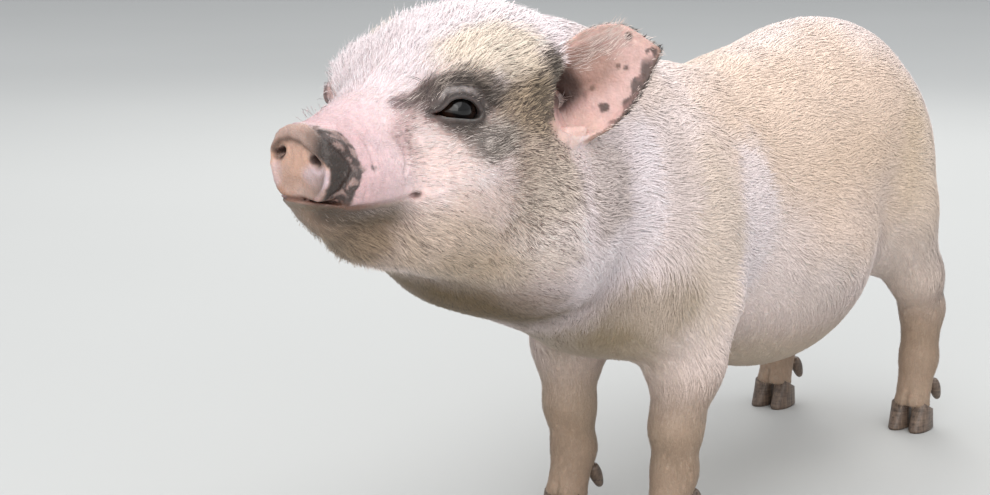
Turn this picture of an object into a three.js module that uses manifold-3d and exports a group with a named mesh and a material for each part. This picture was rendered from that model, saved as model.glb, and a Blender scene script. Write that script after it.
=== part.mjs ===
// A young miniature pig, about nine weeks old, standing still on its four feet with its head held level.
// Millimetres, +Z up. It faces -Y, its left side is +X, and Y = 0 is the line between the fore feet.
// Its flesh is one smooth field of rounded masses. Head, neck, torso and legs are that field's surface,
// parted by thin planar cuts, and ears, tail, claws and eyes are fitted to it.
import * as THREE from "three";
import { mergeVertices } from "three/addons/utils/BufferGeometryUtils.js";
import Module from "manifold-3d";

const wasm = await Module();
wasm.setup();

// ---------- driving dimensions ----------
const GAP = 0.3; // between touching parts
const WITHERS_HEIGHT = 248;
const RUMP_HEIGHT = 259;
const CROWN_HEIGHT = 284;
const BELLY_CLEARANCE = 62;
const BODY_HALF_WIDTH = 66; // at the belly
const HIP_Y = 256;
const FORE_STANCE = 33; // half the distance between the fore feet
const HIND_STANCE = 48;
const FORE_FOOT_Y = -6;
const RIGHT_FOOT_BACK = 8; // the right fore foot stands this far behind the left
const HIND_FOOT_Y = 277;
const NECK_CUT_Y = -84; // head from neck
const CHEST_CUT_Y = -48; // neck from torso

const MUZZLE_Y = -240; // where the snout disc meets the muzzle
const DISC_HEIGHT = 225.5; // the disc's centre above the floor
const DISC_HALF_WIDTH = 19;
const DISC_HALF_HEIGHT = 16.5;
const DISC_THICKNESS = 9;
const NOSTRIL = { x: 10, halfWidth: 2.7, halfHeight: 3.4, depth: 7.5 };
const MOUTH_CORNER = { y: -207, z: 211 };
const MOUTH_SLOT = 1.3;

const EYE_RADIUS = 9.5;
const EYE_CENTRE = [28, -182.5, 244];
const EYE_FACES = [0.84, -0.52, 0.14];
const LID_THICKNESS = 1.6;
const EYE_OPENING = { width: 16.5, height: 8.6 };

const EAR_ROOT = [34, -115, 244];
const EAR_AXIS = [0.757, 0.518, 0.398]; // from root to tip
const EAR_FACES = [0.57, -0.82, 0];
const EAR_CUP_DEPTH = 15;
const EAR_THICKNESS = 2.6; // at the middle, thinning to the rim

const CLAW_WIDTH = 12.2;
const CLAW_LENGTH = 26;
const CLEFT = 1.4; // between the two claws of a foot
const CORONET_HEIGHT = 13; // where horn meets skin, at the middle of the foot
const CORONET_SLOPE = 16; // degrees, lower at the heel
const DEWCLAW = { height: 25, apart: 8.5, behind: 14, droop: 32 }; // from the foot's middle, droop in degrees

// Cell sizes of the faceted surfaces.
const NET = { head: 6.8, neck: 10, torso: 13, leg: 7.3, disc: 3.4, cut: 4 };

const radians = THREE.MathUtils.degToRad;
const mix = THREE.MathUtils.lerp;

// ---------- the field: negative inside, in millimetres ----------
// An ellipsoid, whose pitch in degrees lifts its rear end.
const ball = (centre, radii, pitch = 0) => {
  const c = Math.cos(radians(pitch));
  const s = Math.sin(radians(pitch));
  const [rx, ry, rz] = radii;
  return (x, y, z) => {
    const dx = x - centre[0];
    const dy = c * (y - centre[1]) + s * (z - centre[2]);
    const dz = -s * (y - centre[1]) + c * (z - centre[2]);
    const near = Math.hypot(dx / rx, dy / ry, dz / rz);
    const slope = Math.hypot(dx / (rx * rx), dy / (ry * ry), dz / (rz * rz));
    return slope < 1e-9 ? -Math.min(rx, ry, rz) : (near * (near - 1)) / slope;
  };
};

// A tapered length of limb between two points, round at both ends.
const bone = (a, b, ra, rb) => {
  const [ax, ay, az] = a;
  const [bx, by, bz] = [b[0] - ax, b[1] - ay, b[2] - az];
  const length2 = bx * bx + by * by + bz * bz;
  return (x, y, z) => {
    const along = ((x - ax) * bx + (y - ay) * by + (z - az) * bz) / length2;
    const t = Math.min(Math.max(along, 0), 1);
    return Math.hypot(x - ax - t * bx, y - ay - t * by, z - az - t * bz) - mix(ra, rb, t);
  };
};

const blended = (a, b, width) => {
  const overlap = Math.max(width - Math.abs(a - b), 0) / width;
  return Math.min(a, b) - (overlap * overlap * width) / 4;
};

const HOCK = [HIND_STANCE, 286, 76];
const KNEE = [FORE_STANCE + 1, 0, 64];
const FORE_PASTERN = [FORE_STANCE, 1, 40];
const HIND_PASTERN = [HIND_STANCE, 284, 44];

// Masses on the middle plane, then those in left and right pairs. Each blends into what comes before it.
const middle = [
  [ball([0, 32, 168], [59, 95, 73]), 1], // rib cage
  [ball([0, 146, 140], [BODY_HALF_WIDTH, 104, 140 - BELLY_CLEARANCE], -3), 30],
  [ball([0, 140, 190], [55, 130, 60], 4), 25], // loin
  [ball([0, HIP_Y - 32, 196], [56, 82, RUMP_HEIGHT - 196]), 30], // croup
  [ball([0, 4, WITHERS_HEIGHT - 42], [36, 62, 42]), 25],
  [ball([0, -18, 134], [38, 46, 34]), 20], // brisket
  [ball([0, -58, 193], [52, 72, 74], -14), 25], // neck
  [ball([0, -84, 228], [36, 54, 48]), 20], // crest
  [ball([0, -126, 240], [42, 54, CROWN_HEIGHT - 240]), 16], // skull
  [ball([0, -158, 246], [33, 38, 33]), 14], // forehead
  [ball([0, -106, 184], [41, 60, 46]), 18], // throat
  [bone([0, -166, 238], [0, MUZZLE_Y + 9, DISC_HEIGHT + 1], 30, 17.8), 14], // bridge of the nose
  [ball([0, -222, 222], [19, 34, 17]), 8], // muzzle
  [bone([0, -156, 192], [0, -232.5, 200], 26.5, 12.2), 10], // lower jaw
  [ball([0, -208, 186.5], [12.5, 15, 7.5], -16), 10], // chin
];
const paired = [
  [ball([30, -4, 160], [30, 44, 64]), 16], // shoulder
  [ball([30, HIP_Y, 158], [32, 46, 60]), 20], // ham
  [ball([26, -112, 186], [29, 46, 42]), 18], // jowl
  [ball([22, -156, 200], [24, 48, 29]), 22], // cheek
  [ball([29, -156, 220], [19, 38, 24]), 16], // cheekbone
  [ball([23, -174, 256], [14, 20, 10], 14), 12], // brow
  [ball([27, -182, 243], [12, 15, 11.5]), 7], // orbit
  [ball([13, -219, 216], [13.5, 26, 13]), 9], // upper lip
];
const foreleg = [
  [bone([37, 14, 128], [36, 5, 96], 25, 19.5), 14],
  [bone([36, 5, 96], KNEE, 19.5, 13.6), 10],
  [bone(KNEE, FORE_PASTERN, 13.6, 12.2), 8],
  [bone(FORE_PASTERN, [FORE_STANCE, FORE_FOOT_Y - 1, 16], 12.2, 11.6), 6],
];
const hindleg = [
  [bone([42, 258, 138], [47, 274, 100], 24, 16.8), 14],
  [bone([47, 274, 100], HOCK, 16.8, 13.8), 12],
  [bone(HOCK, HIND_PASTERN, 13.8, 12), 8],
  [bone(HIND_PASTERN, [HIND_STANCE, HIND_FOOT_Y - 1, 16], 12, 11.4), 6],
];

// The right foreleg slants back to its foot.
const strideAt = (x, z) => (x < 0 ? RIGHT_FOOT_BACK * Math.min(Math.max((120 - z) / 90, 0), 1) : 0);

const flesh = (x, y, z) => {
  const side = Math.abs(x);
  let depth = 1e3;
  for (const [mass, width] of middle) depth = blended(depth, mass(x, y, z), width);
  for (const [mass, width] of [...paired, ...hindleg]) depth = blended(depth, mass(side, y, z), width);
  for (const [mass, width] of foreleg) depth = blended(depth, mass(side, y - strideAt(x, z), z), width);
  return depth;
};

// ---------- meshes and solids ----------
const geometryOf = (positions, index) => {
  const geometry = new THREE.BufferGeometry();
  geometry.setAttribute("position", new THREE.Float32BufferAttribute(positions, 3));
  geometry.setIndex(index);
  return geometry;
};

const solid = (geometry) => {
  const bare = geometry.clone();
  for (const name of Object.keys(bare.attributes)) if (name !== "position") bare.deleteAttribute(name);
  const merged = mergeVertices(bare, 1e-4);
  const mesh = new wasm.Mesh({
    numProp: 3,
    vertProperties: merged.attributes.position.array,
    triVerts: new Uint32Array(merged.index.array),
  });
  return new wasm.Manifold(mesh);
};

// The geometry of a solid's largest closed surface, on a fine grid, without the slivers that collapse there.
const geometryFrom = (made) => {
  const fine = 0.01;
  const pieces = made.decompose();
  const largest = pieces.reduce((best, piece) => (piece.volume() > best.volume() ? piece : best));
  const mesh = largest.getMesh();
  const positions = mesh.vertProperties.map((v) => Math.round(v / fine) * fine);
  const merged = mergeVertices(geometryOf(positions, Array.from(mesh.triVerts)), fine / 4);
  const corners = Array.from(merged.index.array);
  const whole = [];
  for (let n = 0; n < corners.length; n += 3) {
    const face = corners.slice(n, n + 3);
    if (new Set(face).size === 3) whole.push(...face);
  }
  return merged.setIndex(whole);
};

// One Newton step from a point towards the field's surface.
const towards = (field, [x, y, z]) => {
  const h = 0.5;
  const depth = field(x, y, z);
  const slope = [
    (field(x + h, y, z) - field(x - h, y, z)) / (2 * h),
    (field(x, y + h, z) - field(x, y - h, z)) / (2 * h),
    (field(x, y, z + h) - field(x, y, z - h)) / (2 * h),
  ];
  const step = depth / Math.max(slope[0] ** 2 + slope[1] ** 2 + slope[2] ** 2, 0.1);
  return [x - step * slope[0], y - step * slope[1], z - step * slope[2]];
};

const CUBE = [...Array(8).keys()].map((n) => [n & 1, (n >> 1) & 1, n >> 2]);
const CUBE_EDGES = CUBE.flatMap((a) =>
  [0, 1, 2].filter((axis) => !a[axis]).map((axis) => [a, a.map((v, n) => (n === axis ? 1 : v))]),
);

// Surface nets: each cell that the surface crosses gets one vertex on it, and each crossed edge one quad.
const surfaceNets = (field, low, high, step) => {
  const count = low.map((v, k) => Math.ceil((high[k] - v) / step) + 1);
  const at = (i, j, k) => (k * count[1] + j) * count[0] + i;
  const value = new Float64Array(count[0] * count[1] * count[2]);
  for (let k = 0; k < count[2]; k++)
    for (let j = 0; j < count[1]; j++)
      for (let i = 0; i < count[0]; i++)
        value[at(i, j, k)] = field(low[0] + i * step, low[1] + j * step, low[2] + k * step);
  const vertices = new Map();
  const positions = [];
  const vertexOf = (cell) => {
    const key = at(...cell);
    if (vertices.has(key)) return vertices.get(key);
    const sum = [0, 0, 0];
    let crossings = 0;
    for (const [a, b] of CUBE_EDGES) {
      const [va, vb] = [a, b].map((c) => value[at(cell[0] + c[0], cell[1] + c[1], cell[2] + c[2])]);
      if (va < 0 === vb < 0) continue;
      const t = va / (va - vb);
      for (let n = 0; n < 3; n++) sum[n] += low[n] + (cell[n] + mix(a[n], b[n], t)) * step;
      crossings++;
    }
    let point = sum.map((v) => v / crossings);
    for (let turn = 0; turn < 3; turn++) point = towards(field, point);
    const inCell = (v, n) => Math.min(Math.max((v - low[n]) / step - cell[n], 0.02), 0.98);
    point = point.map((v, n) => low[n] + (cell[n] + inCell(v, n)) * step);
    vertices.set(key, positions.length / 3);
    positions.push(...point);
    return vertices.get(key);
  };
  const index = [];
  for (let k = 1; k < count[2] - 1; k++)
    for (let j = 1; j < count[1] - 1; j++)
      for (let i = 1; i < count[0] - 1; i++) {
        const inside = value[at(i, j, k)] < 0;
        const edges = [
          [value[at(i + 1, j, k)] < 0, [i, j - 1, k - 1], [i, j, k - 1], [i, j, k], [i, j - 1, k]],
          [value[at(i, j + 1, k)] < 0, [i - 1, j, k - 1], [i - 1, j, k], [i, j, k], [i, j, k - 1]],
          [value[at(i, j, k + 1)] < 0, [i - 1, j - 1, k], [i, j - 1, k], [i, j, k], [i - 1, j, k]],
        ];
        for (const [far, ...cells] of edges) {
          if (inside === far) continue;
          const quad = cells.map(vertexOf);
          const [a, b, c, d] = inside ? quad : quad.reverse();
          index.push(a, b, c, a, c, d);
        }
      }
  return geometryOf(positions, index);
};

// The flesh inside a box, grown outwards, with a little to spare beyond the box for the cuts that trim it.
const fleshIn = (low, high, step, grown = 0) => {
  const spare = 1.2 * step;
  const boxed = (x, y, z) => {
    const p = [x, y, z];
    const outside = p.map((v, k) => Math.max(low[k] - v, v - high[k]) - spare);
    return Math.max(flesh(x, y, z) - grown, ...outside);
  };
  const margin = spare + 1.6 * step;
  return solid(surfaceNets(boxed, low.map((v) => v - margin), high.map((v) => v + margin), step));
};

// A box between two corners, turned about the X axis (lean) or the Y axis (tilt) at a pivot, in degrees.
const block = (low, high, { lean = 0, tilt = 0, pivot = [0, 0, 0] } = {}) => {
  const geometry = new THREE.BoxGeometry(...low.map((v, k) => high[k] - v));
  geometry.translate(...low.map((v, k) => (high[k] + v) / 2 - pivot[k]));
  geometry.rotateX(radians(lean));
  geometry.rotateY(radians(tilt));
  geometry.translate(...pivot);
  return solid(geometry);
};

// Rings of points joined into a closed surface, with a flat fan at each end.
const lofted = (rings) => {
  const around = rings[0].length;
  const positions = rings.flat(2);
  const middleOf = (ring) => [0, 1, 2].map((k) => ring.reduce((sum, p) => sum + p[k], 0) / around);
  const [first, last] = [rings.length * around, rings.length * around + 1];
  positions.push(...middleOf(rings[0]), ...middleOf(rings.at(-1)));
  const index = [];
  for (let n = 0; n < around; n++) {
    const m = (n + 1) % around;
    for (let s = 0; s < rings.length - 1; s++) {
      const [a, b] = [s * around, (s + 1) * around];
      index.push(a + n, a + m, b + m, a + n, b + m, b + n);
    }
    const end = (rings.length - 1) * around;
    index.push(first, m, n, last, end + n, end + m);
  }
  return geometryOf(positions, index);
};

// What is left of a piece outside the flesh, a gap away from it.
const clearOfFlesh = (made) => {
  const { min, max } = made.boundingBox();
  return made.subtract(fleshIn(min, max, NET.cut, GAP * 2));
};

const steps = (n, make) => Array.from({ length: n + 1 }, (_, i) => make(i / n));
const mirrored = ([x, y, z], side) => [x * side, y, z];

// ---------- cuts between the parts ----------
const FAR = 400;
const NECK_LEAN = 10; // degrees, the cut's top leaning back
const behind = (y, lean = 0) => block([-FAR, y, -FAR], [FAR, y + FAR, FAR], { lean, pivot: [0, y, 200] });
const FORE_CUT = { at: [36, 3, 108], tilt: 28, reach: 39 };
const HIND_CUT = { at: [46, 270, 122], tilt: 24, reach: 48 };

// Where a leg is: under a plane that slopes down to the body's middle.
const legZone = ({ at, tilt, reach }, side, gap) => {
  const low = [at[0] * side - FAR, at[1] - reach, -FAR];
  const high = [at[0] * side + FAR, at[1] + reach, at[2] + gap];
  return block(low, high, { tilt: -tilt * side, pivot: mirrored(at, side) });
};

// Everything above the coronets of a foot.
const aboveCoronet = (y, gap) => {
  const pivot = [0, y, CORONET_HEIGHT + gap];
  return block([-FAR, y - FAR, pivot[2]], [FAR, y + FAR, FAR], { lean: -CORONET_SLOPE, pivot });
};
const besideMiddle = (side) => {
  const far = FAR * side;
  return block([Math.min(GAP / 2, far), -FAR, -FAR], [Math.max(-GAP / 2, far), FAR, FAR]);
};

// ---------- head ----------
const eyeBasis = (side) => {
  const out = new THREE.Vector3(...mirrored(EYE_FACES, side)).normalize();
  const across = new THREE.Vector3(0, 0, 1).cross(out).normalize();
  const basis = new THREE.Matrix4().makeBasis(across, out.clone().cross(across), out);
  return basis.setPosition(...mirrored(EYE_CENTRE, side));
};

const sphereAt = (radius, centre, segments) => {
  const geometry = new THREE.SphereGeometry(radius, segments, Math.round(segments * 0.7));
  geometry.translate(...centre);
  return geometry;
};

// The almond-shaped opening between the lids, as a prism that points out of the eye.
const lidOpening = (side) => {
  const { width, height } = EYE_OPENING;
  const almond = new THREE.Shape();
  almond.moveTo(-width / 2, 0);
  almond.bezierCurveTo(-width / 4, height * 0.78, width / 4, height * 0.78, width / 2, 0);
  almond.bezierCurveTo(width / 4, -height * 0.56, -width / 4, -height * 0.56, -width / 2, 0);
  const extrusion = { depth: 2 * EYE_RADIUS, bevelEnabled: false, curveSegments: 7 };
  const prism = new THREE.ExtrudeGeometry(almond, extrusion);
  return solid(prism.applyMatrix4(eyeBasis(side)));
};

// The line of the mouth: a thin slot round the muzzle, deepest at the corners.
const mouthSlot = () => {
  const plan = new THREE.Shape();
  plan.moveTo(-60, MOUTH_CORNER.y);
  plan.lineTo(-60, MUZZLE_Y - 20);
  plan.lineTo(60, MUZZLE_Y - 20);
  plan.lineTo(60, MOUTH_CORNER.y);
  plan.lineTo(19, MOUTH_CORNER.y);
  plan.bezierCurveTo(17, MUZZLE_Y + 2, -17, MUZZLE_Y + 2, -19, MOUTH_CORNER.y);
  const slot = new THREE.ExtrudeGeometry(plan, { depth: MOUTH_SLOT, bevelEnabled: false, curveSegments: 8 });
  slot.translate(0, -MOUTH_CORNER.y, -MOUTH_SLOT / 2);
  slot.rotateX(radians(4));
  slot.translate(0, MOUTH_CORNER.y, MOUTH_CORNER.z);
  return solid(slot);
};

const headSolid = () => {
  let head = fleshIn([-70, -256, 112], [70, -72, 290], NET.head);
  for (const side of [1, -1]) {
    const centre = mirrored(EYE_CENTRE, side);
    head = head.add(solid(sphereAt(EYE_RADIUS + GAP + LID_THICKNESS, centre, 22)));
    head = head.subtract(lidOpening(side)).subtract(solid(sphereAt(EYE_RADIUS + GAP, centre, 18)));
  }
  const discBottom = DISC_HEIGHT - DISC_HALF_HEIGHT;
  const aboveLip = block([-FAR, MUZZLE_Y - FAR, discBottom - 1], [FAR, MUZZLE_Y + GAP, FAR]);
  return head
    .subtract(mouthSlot())
    .subtract(aboveLip)
    .subtract(behind(NECK_CUT_Y - GAP, NECK_LEAN));
};

// The snout disc: a broad rounded plate with a dished face and two nostrils.
const snoutDisc = () => {
  const square = 2.5; // above 2, squarer than an ellipse
  const disc = (x, y, z) => {
    const across = Math.abs(x / DISC_HALF_WIDTH);
    const up = Math.abs((z - DISC_HEIGHT) / DISC_HALF_HEIGHT);
    const away = (across ** square + up ** square) ** (1 / square);
    const face = MUZZLE_Y - DISC_THICKNESS + 1.6 * Math.max(1 - away, 0) ** 2;
    const rim = (away - 1) * DISC_HALF_HEIGHT;
    const front = face - y;
    const round = 3.2;
    const corner = Math.hypot(Math.max(rim + round, 0), Math.max(front + round, 0)) - round;
    return Math.max(corner + Math.min(Math.max(rim, front) + round, 0), y - MUZZLE_Y - 2);
  };
  const reach = [DISC_HALF_WIDTH + 5, 0, DISC_HALF_HEIGHT + 5];
  const low = [-reach[0], MUZZLE_Y - DISC_THICKNESS - 5, DISC_HEIGHT - reach[2]];
  const high = [reach[0], MUZZLE_Y + 8, DISC_HEIGHT + reach[2]];
  let made = solid(surfaceNets(disc, low, high, NET.disc)).subtract(behind(MUZZLE_Y));
  for (const side of [1, -1]) {
    const nostril = new THREE.SphereGeometry(1, 12, 9);
    nostril.scale(NOSTRIL.halfWidth, NOSTRIL.depth, NOSTRIL.halfHeight);
    nostril.rotateZ(radians(-14 * side));
    nostril.translate(NOSTRIL.x * side, MUZZLE_Y - DISC_THICKNESS, DISC_HEIGHT + 1);
    made = made.subtract(solid(nostril));
  }
  return made;
};

// ---------- ears ----------
// The ear's edges from root to tip, as distances along its axis and across it.
const edge = (points) => new THREE.SplineCurve(points.map((p) => new THREE.Vector2(...p)));
const EAR_FRONT_EDGE = edge([[-4, 10], [8, 17.5], [24, 21.5], [39, 17.5], [51, 1]]);
const EAR_REAR_EDGE = edge([[-7, -12], [2, -25], [15, -25.5], [33, -16.5], [51, -1]]);

const earSolid = (side) => {
  const axis = new THREE.Vector3(...EAR_AXIS).normalize();
  const faces = new THREE.Vector3(...EAR_FACES).normalize();
  const across = faces.clone().cross(axis).normalize();
  const root = new THREE.Vector3(...EAR_ROOT);
  const half = 9; // steps across one face
  const rings = steps(11, (u) => {
    const front = EAR_FRONT_EDGE.getPoint(u);
    const rear = EAR_REAR_EDGE.getPoint(u);
    const cup = EAR_CUP_DEPTH * (1 - u) ** 1.3 + 3 * (1 - u);
    const at = (v, lift) => {
      const bow = Math.max(4 * v * (1 - v), 0) ** 0.75;
      const along = mix(rear.x, front.x, v);
      const sideways = mix(rear.y, front.y, v);
      const point = root.clone().addScaledVector(axis, along).addScaledVector(across, sideways);
      point.addScaledVector(faces, lift - cup * bow);
      return [point.x * side, point.y, point.z];
    };
    const thick = (v) => mix(0.9, EAR_THICKNESS, Math.max(4 * v * (1 - v), 0) ** 0.5 * (1 - 0.5 * u));
    const inner = steps(half, (v) => at(v, thick(v) / 2));
    const outer = steps(half, (v) => at(1 - v, -thick(v) / 2));
    return side > 0 ? [...inner, ...outer].reverse() : [...inner, ...outer];
  });
  return clearOfFlesh(solid(lofted(rings)));
};

// ---------- torso, neck and legs ----------
const neckSolid = () =>
  fleshIn([-80, -100, 100], [80, -44, 300], NET.neck)
    .intersect(behind(NECK_CUT_Y, NECK_LEAN))
    .subtract(behind(CHEST_CUT_Y - GAP));

const torsoSolid = () => {
  let torso = fleshIn([-90, -60, 66], [90, 330, 280], NET.torso).intersect(behind(CHEST_CUT_Y));
  for (const side of [1, -1])
    for (const cut of [FORE_CUT, HIND_CUT]) torso = torso.subtract(legZone(cut, side, GAP));
  return torso;
};

const legSolid = (cut, footY, side) => {
  const [near, away] = [0, 84].map((x) => x * side);
  const low = [Math.min(near, away), cut.at[1] - cut.reach, 8];
  const high = [Math.max(near, away), cut.at[1] + cut.reach, cut.at[2] + 34];
  return fleshIn(low, high, NET.leg)
    .intersect(legZone(cut, side, 0))
    .intersect(besideMiddle(side))
    .intersect(aboveCoronet(footY, GAP));
};

// ---------- feet ----------
const clawSolid = (x, footY) => {
  const around = 14;
  const rings = [0, 1, 9, 22].map((height) => {
    const foot = height === 0 ? 0.9 : 1;
    const halfWidth = CLAW_WIDTH / 2 - 0.02 * height;
    return steps(around - 1, (t) => {
      const angle = (2 * Math.PI * t * (around - 1)) / around;
      const [c, s] = [Math.cos(angle), Math.sin(angle)];
      const narrow = 1 - 0.22 * Math.max(-s, 0) ** 2;
      const reach = CLAW_LENGTH / 2 - (s < 0 ? 0.5 : 0.12) * height;
      return [
        x + foot * halfWidth * narrow * Math.sign(c) * Math.abs(c) ** 0.75,
        footY - 2 + foot * reach * Math.sign(s) * Math.abs(s) ** 0.9,
        height,
      ];
    });
  });
  return solid(lofted(rings)).subtract(aboveCoronet(footY, 0));
};

const dewclawSolid = (x, y) => {
  const profile = [[0, -11], [1.8, -10], [3.2, -5], [3.6, 1], [2.6, 5], [0, 6]];
  const geometry = new THREE.LatheGeometry(profile.map((p) => new THREE.Vector2(...p)), 8);
  geometry.rotateX(radians(90 + DEWCLAW.droop));
  geometry.translate(x, y, DEWCLAW.height);
  return clearOfFlesh(solid(geometry));
};

// ---------- tail ----------
const TAIL_PATH = [[0, 280, 224], [0, 305, 224], [1, 320, 206], [5, 322, 176], [10, 315, 150]];
const tailSolid = () => {
  const path = new THREE.CatmullRomCurve3(TAIL_PATH.map((p) => new THREE.Vector3(...p)));
  const around = 10;
  const rings = steps(14, (t) => {
    const at = path.getPoint(t);
    const along = path.getTangent(t);
    const wide = new THREE.Vector3(1, 0, 0).addScaledVector(along, -along.x).normalize();
    const deep = along.clone().cross(wide);
    const radius = mix(7.2, 2.6, t ** 0.8) * (t > 0.99 ? 0.5 : 1);
    return steps(around - 1, (n) => {
      const angle = (2 * Math.PI * n * (around - 1)) / around;
      const point = at.clone().addScaledVector(wide, radius * Math.cos(angle));
      return point.addScaledVector(deep, radius * Math.sin(angle)).toArray();
    });
  });
  return clearOfFlesh(solid(lofted(rings)));
};

// ---------- the model ----------
const material = (color, roughness) => new THREE.MeshStandardMaterial({ color, roughness, metalness: 0 });
const COAT = material(0xe6cdbf, 0.8);
const LEG_COAT = material(0xd9b9a8, 0.8);
const EAR_SKIN = material(0xdba79c, 0.7);
const SNOUT_SKIN = material(0xc9938c, 0.5);
const EYE = material(0x1d1716, 0.08);
const HORN = material(0x6d5f57, 0.5);

const pig = new THREE.Group();
const add = (name, geometry, finish) => {
  const mesh = new THREE.Mesh(geometry, finish);
  mesh.name = name;
  pig.add(mesh);
};

add("head", geometryFrom(headSolid()), COAT);
add("snout_disc", geometryFrom(snoutDisc()), SNOUT_SKIN);
add("neck", geometryFrom(neckSolid()), COAT);
add("torso", geometryFrom(torsoSolid()), COAT);
add("tail", geometryFrom(tailSolid()), COAT);
for (const [side, name] of [[1, "left"], [-1, "right"]]) {
  add("ear_" + name, geometryFrom(earSolid(side)), EAR_SKIN);
  add("eye_" + name, sphereAt(EYE_RADIUS, mirrored(EYE_CENTRE, side), 16), EYE);
  const foreY = FORE_FOOT_Y + strideAt(side, 0);
  add("foreleg_" + name, geometryFrom(legSolid(FORE_CUT, foreY, side)), LEG_COAT);
  add("hindleg_" + name, geometryFrom(legSolid(HIND_CUT, HIND_FOOT_Y, side)), LEG_COAT);
  for (const [leg, stance, footY] of [["fore", FORE_STANCE, foreY], ["hind", HIND_STANCE, HIND_FOOT_Y]])
    for (const [place, outward] of [["outer", 1], ["inner", -1]]) {
      const clawX = (stance + (outward * (CLAW_WIDTH + CLEFT)) / 2) * side;
      add(`claw_${leg}_${name}_${place}`, geometryFrom(clawSolid(clawX, footY)), HORN);
      const dewclaw = dewclawSolid((stance + outward * DEWCLAW.apart) * side, footY + DEWCLAW.behind);
      add(`dewclaw_${leg}_${name}_${place}`, geometryFrom(dewclaw), HORN);
    }
}

// The origin is the middle of the outline, on the floor.
const box = new THREE.Box3().setFromObject(pig);
pig.position.set(0, -(box.min.y + box.max.y) / 2, 0);

export default pig;
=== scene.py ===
"""A young spotted miniature pig: one skin with its folds and lids, a coat of short tufts, eyes and claws.

Lengths in the code are millimetres in the pig's own frame, where Y = 0 lies at the fore knees, +X is its
left side and +Z is up. Meshes are written in metres, in the frame of the CAD model.
"""
import itertools
import math

import bpy
import numpy as np
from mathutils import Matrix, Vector


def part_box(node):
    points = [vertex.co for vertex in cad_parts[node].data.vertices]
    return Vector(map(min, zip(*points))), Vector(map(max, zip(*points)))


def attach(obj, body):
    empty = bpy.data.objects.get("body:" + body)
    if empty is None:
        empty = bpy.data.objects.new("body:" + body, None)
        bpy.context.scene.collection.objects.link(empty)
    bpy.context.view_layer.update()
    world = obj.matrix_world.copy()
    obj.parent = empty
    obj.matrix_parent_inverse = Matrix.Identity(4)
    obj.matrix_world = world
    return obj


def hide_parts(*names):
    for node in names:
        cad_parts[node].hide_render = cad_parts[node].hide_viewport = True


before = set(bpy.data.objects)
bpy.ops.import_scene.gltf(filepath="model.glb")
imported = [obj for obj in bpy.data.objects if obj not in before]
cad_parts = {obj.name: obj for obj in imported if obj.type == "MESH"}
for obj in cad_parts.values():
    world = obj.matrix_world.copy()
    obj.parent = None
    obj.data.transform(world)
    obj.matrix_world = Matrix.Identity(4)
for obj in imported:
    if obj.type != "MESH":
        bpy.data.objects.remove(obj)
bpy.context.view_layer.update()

COARSE = 1.0
THIN_OUT = 1.0
rng = np.random.default_rng(20)
F = np.float32

# ---------- driving dimensions, as in the solids ----------
EYE_RADIUS = 9.5
EYE_CENTRE = np.array([28, -182.5, 244])
EYE_FACES = np.array([0.84, -0.52, 0.14])
LID_THICKNESS = 1.6
# Heights of the lids' edges at distances across the eye, from its inner corner to its outer one.
UPPER_LID = (
    [-16, -13.1, -10.2, -7.9, -5.5, -3.1, 0.2, 4, 6.9, 8.8, 12],
    [-4, -2.2, -1.3, 0.4, 2.8, 3.7, 3.8, 2.6, 0.3, -2.6, -7],
)
LOWER_LID = (
    [-16, -13.1, -10.2, -7.4, -3.1, 1.7, 5.5, 7.9, 8.8, 12],
    [-1, -2.5, -2.3, -3.5, -4.1, -4.7, -4.8, -4.3, -3.1, 1],
)

MUZZLE_Y = -240
DISC_HEIGHT = 225.5
DISC_HALF_WIDTH = 19
DISC_HALF_HEIGHT = 16.5
DISC_THICKNESS = 9
DISC_ROUNDING = 3.4
DISC_BOTTOM = 210.7  # the lip is cut off straight
DISC_TURN = math.radians(11)  # the snout's face looks this far to the pig's right
DISC_PIVOT = (0.3, -237)
MOUTH_CORNER = (25.8, -207, 210.4)

EAR_ROOT = np.array([34, -115, 244])
EAR_AXIS = np.array([0.757, 0.518, 0.398])
EAR_FACES = np.array([0.57, -0.82, 0])
EAR_CUP_DEPTH = 15
EAR_LENGTH = 51

FORE_STANCE, HIND_STANCE = 33, 48
FORE_FOOT_Y, HIND_FOOT_Y = -6, 277
RIGHT_FOOT_BACK = 8
LEGS_BEGIN_Y, BETWEEN_LEGS_Y = -60, 140
CLAW_WIDTH, CLAW_LENGTH, CLEFT = 12.2, 26, 1.4
CORONET_HEIGHT, CORONET_SLOPE = 13, math.tan(math.radians(16))
HOCK, HIND_PASTERN = (HIND_STANCE, 286, 76), (HIND_STANCE, 284, 44)
KNEE, FORE_PASTERN = (FORE_STANCE + 1, 0, 64), (FORE_STANCE, 1, 40)
SHANK, FOREARM = (47, 274, 100), (36, 5, 96)
TAIL_PATH = [(0, 280, 224), (0, 305, 224), (1, 320, 206), (5, 322, 176), (10, 315, 150)]
TAIL_THICK, TAIL_THIN = 6.6, 1.9

eye_low, eye_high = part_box("eye_left")
SHIFT_Y = 500 * (eye_low.y + eye_high.y) - EYE_CENTRE[1]  # from the pig's frame to the CAD model's


def unit(v):
    return np.asarray(v, float) / np.linalg.norm(v)


def unit_rows(v):
    return v / np.maximum(np.linalg.norm(v, axis=1), 1e-9)[:, None]


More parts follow.
